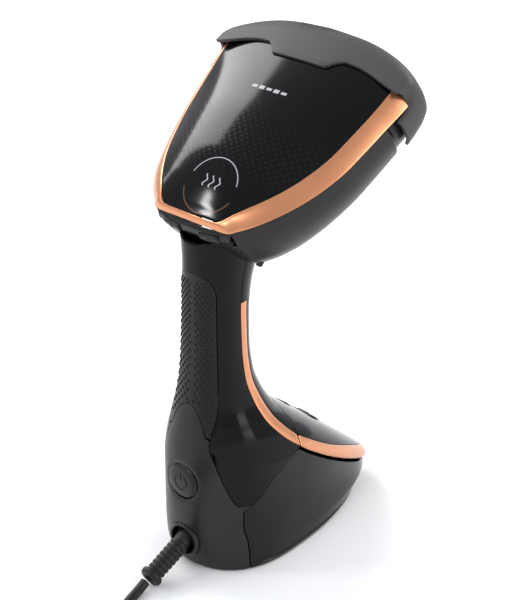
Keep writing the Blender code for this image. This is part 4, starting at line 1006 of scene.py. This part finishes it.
def cover_panel():
    line = spline(TRIM_INNER, 10)

    def place(across, up):
        p = pick(line, up)
        t = 2 * across - 1
        rise = (smooth(CROWN, p.y) - p.z) * (1 - abs(t) ** 2.3) * ease(0.0, 12.0, p.x)
        return Vector((t * max(0.0, p.x - GAP), p.y + GAP * ease(10.0, 6.0, p.y), p.z + rise))

    bm = facing(sheet(44, 120, place), (0, 60, 300))
    return piece("head_cover_panel", bm, cover_finish(), "housing", ["head_cover"], HEAD,
                 wall=1.6, bevel=0.3)


def trim_band(f):
    outer, inner = spline(TRIM_OUTER, 8), spline(TRIM_INNER, 8)

    def place(across, up):
        a, b = pick(outer, up), pick(inner, up)
        bulge = 1.0 * (1 - (2 * across - 1) ** 2) ** 0.75
        p = lerp(a, b, across) + Vector((0, 0, bulge))
        if up == 1.0:
            p.x = 0.0
        return p

    bm = facing(mirrored(sheet(12, 96, place)), (0, 60, 300))
    return piece("head_copper", bm, f["copper"], "housing", ["head_trim"], HEAD, wall=1.4,
                 bevel=0.25)


def head_loop(outset, drop, per=6):
    """Right half of the head's side wall outline, pushed out and lowered towards the plate."""
    side = spline(TRIM_OUTER, per)[1:]
    top = spline([(x, y, -12.2) for x, y in reversed(HEAD_TOP)], 3)
    half = [*top, *side]
    loop = []
    for i, p in enumerate(half):
        way = (half[min(len(half) - 1, i + 1)] - half[max(0, i - 1)]).to_2d()
        out = Vector((-way.y, way.x, 0)).normalized()
        tuck = GUARD_WALL + GAP * min(1.0, max(0.0, p.y - 90.0)) if p.y > GUARD_SIDE - 6 else 0.0
        moved = p + out * (outset - tuck)
        moved.z = lerp(p.z - GAP, PLATE_DEPTH, drop)
        if i in (0, len(half) - 1):
            moved.x = 0.0
        loop.append(moved)
    return loop


def shell_levels(count):
    """Profile of the head's side wall: how far out and how far down, smoothed."""
    line = spline([(outset, drop, 0) for outset, drop in SHELL_LEVELS], count)
    return [(p.x, p.y) for p in line]


def head_hull():
    """Solid of the head's outside, a little larger, that trims the handle where it enters the head."""
    loops = [head_loop(outset + 2 * GAP, drop, 2) for outset, drop in SHELL_LEVELS]
    loops = [[p + Vector((0, 0, 20)) for p in loops[0]], *loops]
    loops[-1] = [p + Vector((0, 0, -30)) * (p.y > 30) for p in loops[-1]]

    def place(across, up):
        return pick(pick_row(loops, up), across)

    bm = mirrored(sheet(len(loops[0]) - 1, len(loops) - 1, place))
    bmesh.ops.holes_fill(bm, edges=bm.edges, sides=0)
    bmesh.ops.recalc_face_normals(bm, faces=bm.faces)
    bmesh.ops.transform(bm, matrix=HEAD, verts=bm.verts)
    return bm


def pick_row(loops, share):
    """Row of points part of the way through a list of rows."""
    spot = min(max(share, 0.0), 1.0) * (len(loops) - 1)
    k = min(int(spot + 1e-4), len(loops) - 2)
    t = spot - k
    t = 0.0 if abs(t) < 1e-4 else t
    return [lerp(a, b, t) for a, b in zip(loops[k], loops[k + 1])]


def head_body(f, bar_hole):
    loops = [head_loop(outset, drop) for outset, drop in shell_levels(5)]

    def place(across, up):
        return pick(loops[min(len(loops) - 1, round(up * (len(loops) - 1)))], across)

    bm = facing(mirrored(sheet(len(loops[0]) - 1, len(loops) - 1, place)), (0, 400, -20))
    passage = bar((0, -40.0, 190.0), (0, -28.0, 250.0), 11.0)
    bmesh.ops.transform(passage, matrix=HEAD.inverted(), verts=passage.verts)
    return piece("head_body", bm, f["satin_black"], "housing", ["head_shell"], HEAD, wall=1.8,
                 bevel=0.4, holes=[bar_hole, passage])


def brim(x):
    """Lower edge of the guard on the head's cover: a wide tab in the middle, swept down at the sides."""
    x = abs(x)
    tab = (GUARD_EDGE - 8.0) + 7.6 * ease(19.5, 27.0, x)
    return tab - 7.0 * ease(34.0, 72.0, x)


def guard(f):
    half = spline([(70.9, GUARD_SIDE, 0.0), (71.2, 112.0, 0.0), *((x, y, 0.0) for x, y in HEAD_TOP)], 6)
    sections = []
    for i, p in enumerate(half):
        way = (half[min(len(half) - 1, i + 1)] - half[max(0, i - 1)]).to_2d()
        out = Vector((way.y, -way.x, 0)).normalized() if i < len(half) - 1 else Vector((0, 1, 0))
        side = [p + out * GUARD_PROUD * a + Vector((0, 0, b))
                for a, b in ((0.5, -15.0), (0.5, -21.0), (0.1, -28.0), (-1.2, PLATE_DEPTH + 5.0))]
        along = ease(113.0, 124.0, p.y)
        low_top = [p + out * k + Vector((0, 0, z)) for k, z in ((-1.6, -12.6), (-0.4, -12.6), (0.8, -13.2))]
        reach = p.x * 0.97
        rise = smooth(CROWN, GUARD_EDGE) - 7.4 * (reach / 70.0) ** 2
        edge_h = brim(reach)
        crown = smooth(CROWN, edge_h) - 7.4 * (reach / 70.0) ** 2
        high_top = [Vector((reach, edge_h, crown + 1.5)),
                    Vector((lerp(reach, p.x, 0.6), lerp(GUARD_EDGE, p.y, 0.6), rise - 0.4)),
                    p + out * 0.8 + Vector((0, 0, rise - 6.0))]
        top = [lerp(a, b, along) for a, b in zip(low_top, high_top)]
        sections.append(spline([*top, *side], 5))
    sections[-1] = [Vector((0.0, q.y, q.z)) for q in sections[-1]]

    def place(across, up):
        return pick(sections[min(len(sections) - 1, round(up * (len(sections) - 1)))], across)

    bm = facing(mirrored(sheet(len(sections[0]) - 1, len(sections) - 1, place)), (0, 300, 100))
    slot = block((37.0, 12.0, 3.4), (0, 139.0, 3.0), 1.5, -40.0)
    return piece("head_guard_cap", bm, f["guard_grey"], "housing", ["head_guard"], HEAD,
                 wall=2.0, bevel=0.5, holes=[slot])


def plate_line(inset=0.0, per=6):
    half = spline([(x, y, 0.0) for x, y in PLATE_OUTLINE], per)
    line = []
    for i, p in enumerate(half):
        way = (half[min(len(half) - 1, i + 1)] - half[max(0, i - 1)]).to_2d().normalized()
        line.append((0.0 if i in (0, len(half) - 1) else p.x + way.y * inset, p.y - way.x * inset))
    return [*line, *((-x, y) for x, y in reversed(line[1:-1]))]


def hot_plate(f):
    bm = prism(plate_line(), PLATE_DEPTH - 4.5, PLATE_DEPTH - 1.0)
    low = [e for e in bm.edges if all(v.co.z < PLATE_DEPTH - 4 for v in e.verts)]
    bmesh.ops.bevel(bm, geom=low, offset=1.2, offset_type="OFFSET", segments=3, affect="EDGES", profile=0.5,
                    material=-1)
    holes = bmesh.new()
    for y, reach in ((112, 3), (94, 3), (76, 2), (58, 1)):
        for k in range(-reach, reach + 1):
            place = Matrix.Translation((13.0 * k, y, PLATE_DEPTH - 3))
            bmesh.ops.create_cone(holes, cap_ends=True, segments=24, radius1=1.9, radius2=1.6, depth=8.0,
                                  matrix=place)
    return piece("coated_soleplate", bm, f["plate_coating"], "housing", ["soleplate"], HEAD,
                 holes=[holes])


def control_keys(f):
    """Two steam keys, each with a ring and one or three short strokes on its face."""
    for name, side, waves in (("low", -1, 1), ("high", 1, 3)):
        key = block((13.0, 3.4, 4.6), (0, 0, 0), 0.9)
        marks = spun(((1.35, -1.9), (1.65, -1.9), (1.65, -1.5), (1.35, -1.5)), 24, tilt=0.0)
        upright = Matrix.Rotation(math.pi / 2, 3, "X")
        bmesh.ops.rotate(marks, verts=marks.verts, cent=(0, 0, 0), matrix=upright)
        bmesh.ops.translate(marks, verts=marks.verts, vec=(0, -3.35, 0))
        for k in range(waves):
            across = 0.55 * (k - (waves - 1) / 2)
            join(marks, block((0.3, 0.5, 1.5), (across, -1.75, 0), 0.1, segments=1))
        turn = Matrix.Translation((side * 14.0, -2.1, -3.6)) \
            @ Matrix.Rotation(math.radians(side * 6.0), 4, "Z")
        for bm, label, look in ((key, "steam_%s_key_cap", "satin_black"),
                                (marks, "steam_%s_key_mark", "guard_grey")):
            piece(label % name, bm, f[look], name + "_key", ["steam_%s_key" % name], HEAD @ turn)


# ---------------------------------------------------------------- cord and its fittings

CORD_ROUTE = (
    (0.0, -108.5, 5.6), (0.6, -114.0, 3.6), (2.6, -122.0, 3.0), (5.8, -132.0, 3.0), (7.8, -143.0, 3.0),
    (6.6, -154.5, 3.0), (1.6, -165.5, 3.0), (-7.0, -175.5, 3.0), (-17.0, -184.5, 3.0), (-26.4, -194.0, 3.0),
    (-33.2, -205.0, 3.0), (-36.8, -217.0, 3.0),
)
LEAD_ROUTE = (
    (20.4, -280.0, 3.0), (32.6, -281.6, 3.0), (46.0, -281.0, 3.6), (59.6, -277.0, 5.8), (71.0, -269.4, 9.8),
    (79.0, -259.0, 14.8), (82.0, -249.5, 18.4), (82.0, -245.5, 19.0),
)
COIL_AT = (14.0, -228.0)
COIL_RADIUS = 36.0
PLUG_AT = (82.0, -207.0, 19.0)
# Turns of the winding in the order in which they are laid: radius, height.
TURNS = ((45, 9), (45, 15), (39, 15), (33, 15), (27, 15), (27, 9), (27, 3), (33, 3), (33, 9),
         (39, 9), (39, 3), (45, 3))
TIE_ANGLE = 205.0


def winding_points():
    """Route of the coil, turn on turn, stepping from each to the next under the tie."""
    points = []
    for degrees in range(174, 236, 6):
        r = lerp(52.0, 45.0, ease(172, 235, degrees))
        points.append((r, lerp(3.0, 9.0, ease(168, 212, degrees)), degrees))
    for k, (r, z) in enumerate(TURNS):
        following = TURNS[k + 1] if k + 1 < len(TURNS) else TURNS[-1]
        for degrees in range(240, 600, 8):
            t = ease(516, 596, degrees)
            points.append((lerp(r, following[0], t), lerp(z, following[1], t), degrees))
    for degrees in (240, 248, 256, 264, 271):
        points.append((lerp(45.0, 52.0, ease(234, 278, degrees)), 3.0, degrees))
    x, y = COIL_AT
    return [(x + r * math.cos(math.radians(a)), y + r * math.sin(math.radians(a)), z) for r, z, a in points]


def mains_cord(f):
    route = [*spline(CORD_ROUTE, 4), *winding_points(), *spline(LEAD_ROUTE, 4)]
    curve = bpy.data.curves.new("mains_cord", "CURVE")
    curve.dimensions = "3D"
    curve.bevel_depth = 0.003
    curve.bevel_resolution = 4
    curve.use_fill_caps = True
    line = curve.splines.new("POLY")
    line.points.add(len(route) - 1)
    for point, p in zip(line.points, route):
        point.co = (p[0] * MM, (p[1] + SHIFT) * MM, p[2] * MM, 1)
    line.use_smooth = True
    curve.materials.append(f["cord_black"].material)
    cord = bpy.data.objects.new("mains_cord", curve)
    bpy.context.scene.collection.objects.link(cord)
    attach(cord, "housing")
    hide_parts("power_cord", "cord_coil", "plug_lead")

    exit_y = level(CORD_EXIT_Z, REAR)
    socket = spun(((9.3, 1.2), (9.8, 1.25), (10.3, 1.1), (10.8, 0.4), (11.0, -1.0), (11.0, -4.0),
                   (8.9, -4.0),
                   (8.9, 0.8)), 48, (0, exit_y - 0.6, CORD_EXIT_Z), 90.0)
    piece("cord_collar", socket, f["satin_black"], "housing", ["cord_socket"])
    ribs = [(3.3, 33.0), (5.6, 33.0), (6.6, 32.4), (7.0, 31.2), (7.0, 30.0), (6.5, 29.0), (5.0, 28.2)]
    for k in range(7):
        top = 26.8 - 3.35 * k
        wide = 5.65 + 0.03 * k
        ribs += [(wide - 0.75, top + 0.5), (wide, top), (wide, top - 1.7), (wide - 0.75, top - 2.2)]
    ribs += [(5.6, 2.0), (5.9, 0.0), (5.9, -6.0), (3.3, -6.0)]
    relief = spun(ribs, 40, (0, exit_y, CORD_EXIT_Z), 90.0 + CORD_DROOP)
    relief = piece("bend_relief", relief, f["cord_black"], "housing", ["strain_relief"],
                   bevel=0.2)

    a = math.radians(TIE_ANGLE)
    out, side = Vector((math.cos(a), math.sin(a), 0)), Vector((-math.sin(a), math.cos(a), 0))
    spot = Vector((COIL_AT[0], COIL_AT[1], 0)) + out * COIL_RADIUS
    corner = 2.5
    middle = (0.8 + 19.2) / 2
    half_wide, half_tall = 13.7 - corner, (19.2 - 0.8) / 2 - corner

    def strap(across, up):
        b = across * 2 * math.pi
        x = math.copysign(half_wide, math.cos(b)) * min(1.0, abs(math.cos(b)) * 6) + corner * math.cos(b)
        z = math.copysign(half_tall, math.sin(b)) * min(1.0, abs(math.sin(b)) * 6) + corner * math.sin(b)
        return spot + out * x + Vector((0, 0, middle + z)) + side * lerp(-4.0, 4.0, up)

    bm = sheet(56, 4, strap)
    bmesh.ops.remove_doubles(bm, verts=bm.verts, dist=0.02)
    bm = facing(bm, spot + out * 60)
    tie = piece("cord_strap", bm, f["rubber"], "housing", ["cord_tie"], wall=0.8, bevel=0.15)

    x, y, z = PLUG_AT
    body = spun(((0, 0.0), (16.8, 0.0), (17.8, -0.3), (18.4, -1.0), (18.4, -9.6), (17.9, -11.6),
                 (16.0, -14.6), (12.4, -18.4), (9.0, -22.4), (7.2, -26.0), (6.0, -30.0), (5.4, -34.0), (5.0, -38.0),
                 (3.2, -38.0), (3.0, -37.0), (0, -37.0)), 48, (x, y, z), -90.0)
    for k in range(3):
        top = -3.0 - 2 * k
        join(body, spun(((18.4, top), (18.75, top - 0.3), (18.75, top - 0.9), (18.4, top - 1.2)),
                        48, (x, y, z), -90.0))
    plug = piece("mains_plug", body, f["cord_black"], "housing", ["plug_body"], bevel=0.2)
    for label, shift in (("plug_pin_left", -9.5), ("plug_pin_right", 9.5)):
        pin = spun(((0, 19.0), (1.5, 18.7), (2.15, 18.0), (2.4, 17.0), (2.4, 0.35), (0, 0.35)), 24,
                   (x + shift, y, z), -90.0)
        piece(label.replace("pin", "prong"), pin, f["brass"], "housing", [label])


# ---------------------------------------------------------------- assembly

CARRIED = {
    "satin_black": ("bulkhead", "base_plate", "control_bar"),
    "steel": ("trigger_pin", "pump_piston", "heating_element", "thermostat", "heat_shield",
              "chamber_screw_left", "chamber_screw_right"),
    "aluminium": ("steam_chamber", "chamber_cover"),
    "silicone": ("inlet_hose", "outlet_hose", "soleplate_seal"),
    "rubber": ("microswitch", "wire_bundle", "foot_left", "foot_right", "tank_foot", "power_switch"),
    "white_plastic": ("pump_body", "tank_socket", "tank_valve", "thermal_fuse", "cord_clamp"),
    "board_green": ("control_board",),
    "winding": ("pump_coil",),
}


def carry_over(f):
    for slot, names in CARRIED.items():
        for name in names:
            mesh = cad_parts[name].data
            mesh.materials.clear()
            mesh.materials.append(f[slot].material)


floor = studio()
finishes = make_finishes()
floor.data.materials.append(floor_finish().material)
mains_cord(finishes)

hull = head_hull()
bar_hole = block((58.0, 14.0, 17.6), (0, -1.0, -0.7))
bar_in_body = bar_hole.copy()
bmesh.ops.transform(bar_in_body, matrix=HEAD, verts=bar_in_body.verts)
heel(finishes)
grip(finishes)
handle(finishes, bar_in_body)
handle_front(finishes, hull)
handle_trims(finishes)
trigger(finishes)
spring("trigger_return_spring", "trigger_spring", 4, 3.0, 0.42, -35.5, -29.9, (0, 150.0),
       finishes)
spring("power_return_spring", "power_spring", 3, 7.4, 0.4, -68.5, -72.5, (0, BUTTON_Z),
       finishes)
power_key(finishes)
tank_cup(finishes)
tank_ring(finishes)
tank_top(finishes)
cover_panel()
trim_band(finishes)
head_body(finishes, bar_hole)
guard(finishes)
hot_plate(finishes)
control_keys(finishes)
carry_over(finishes)
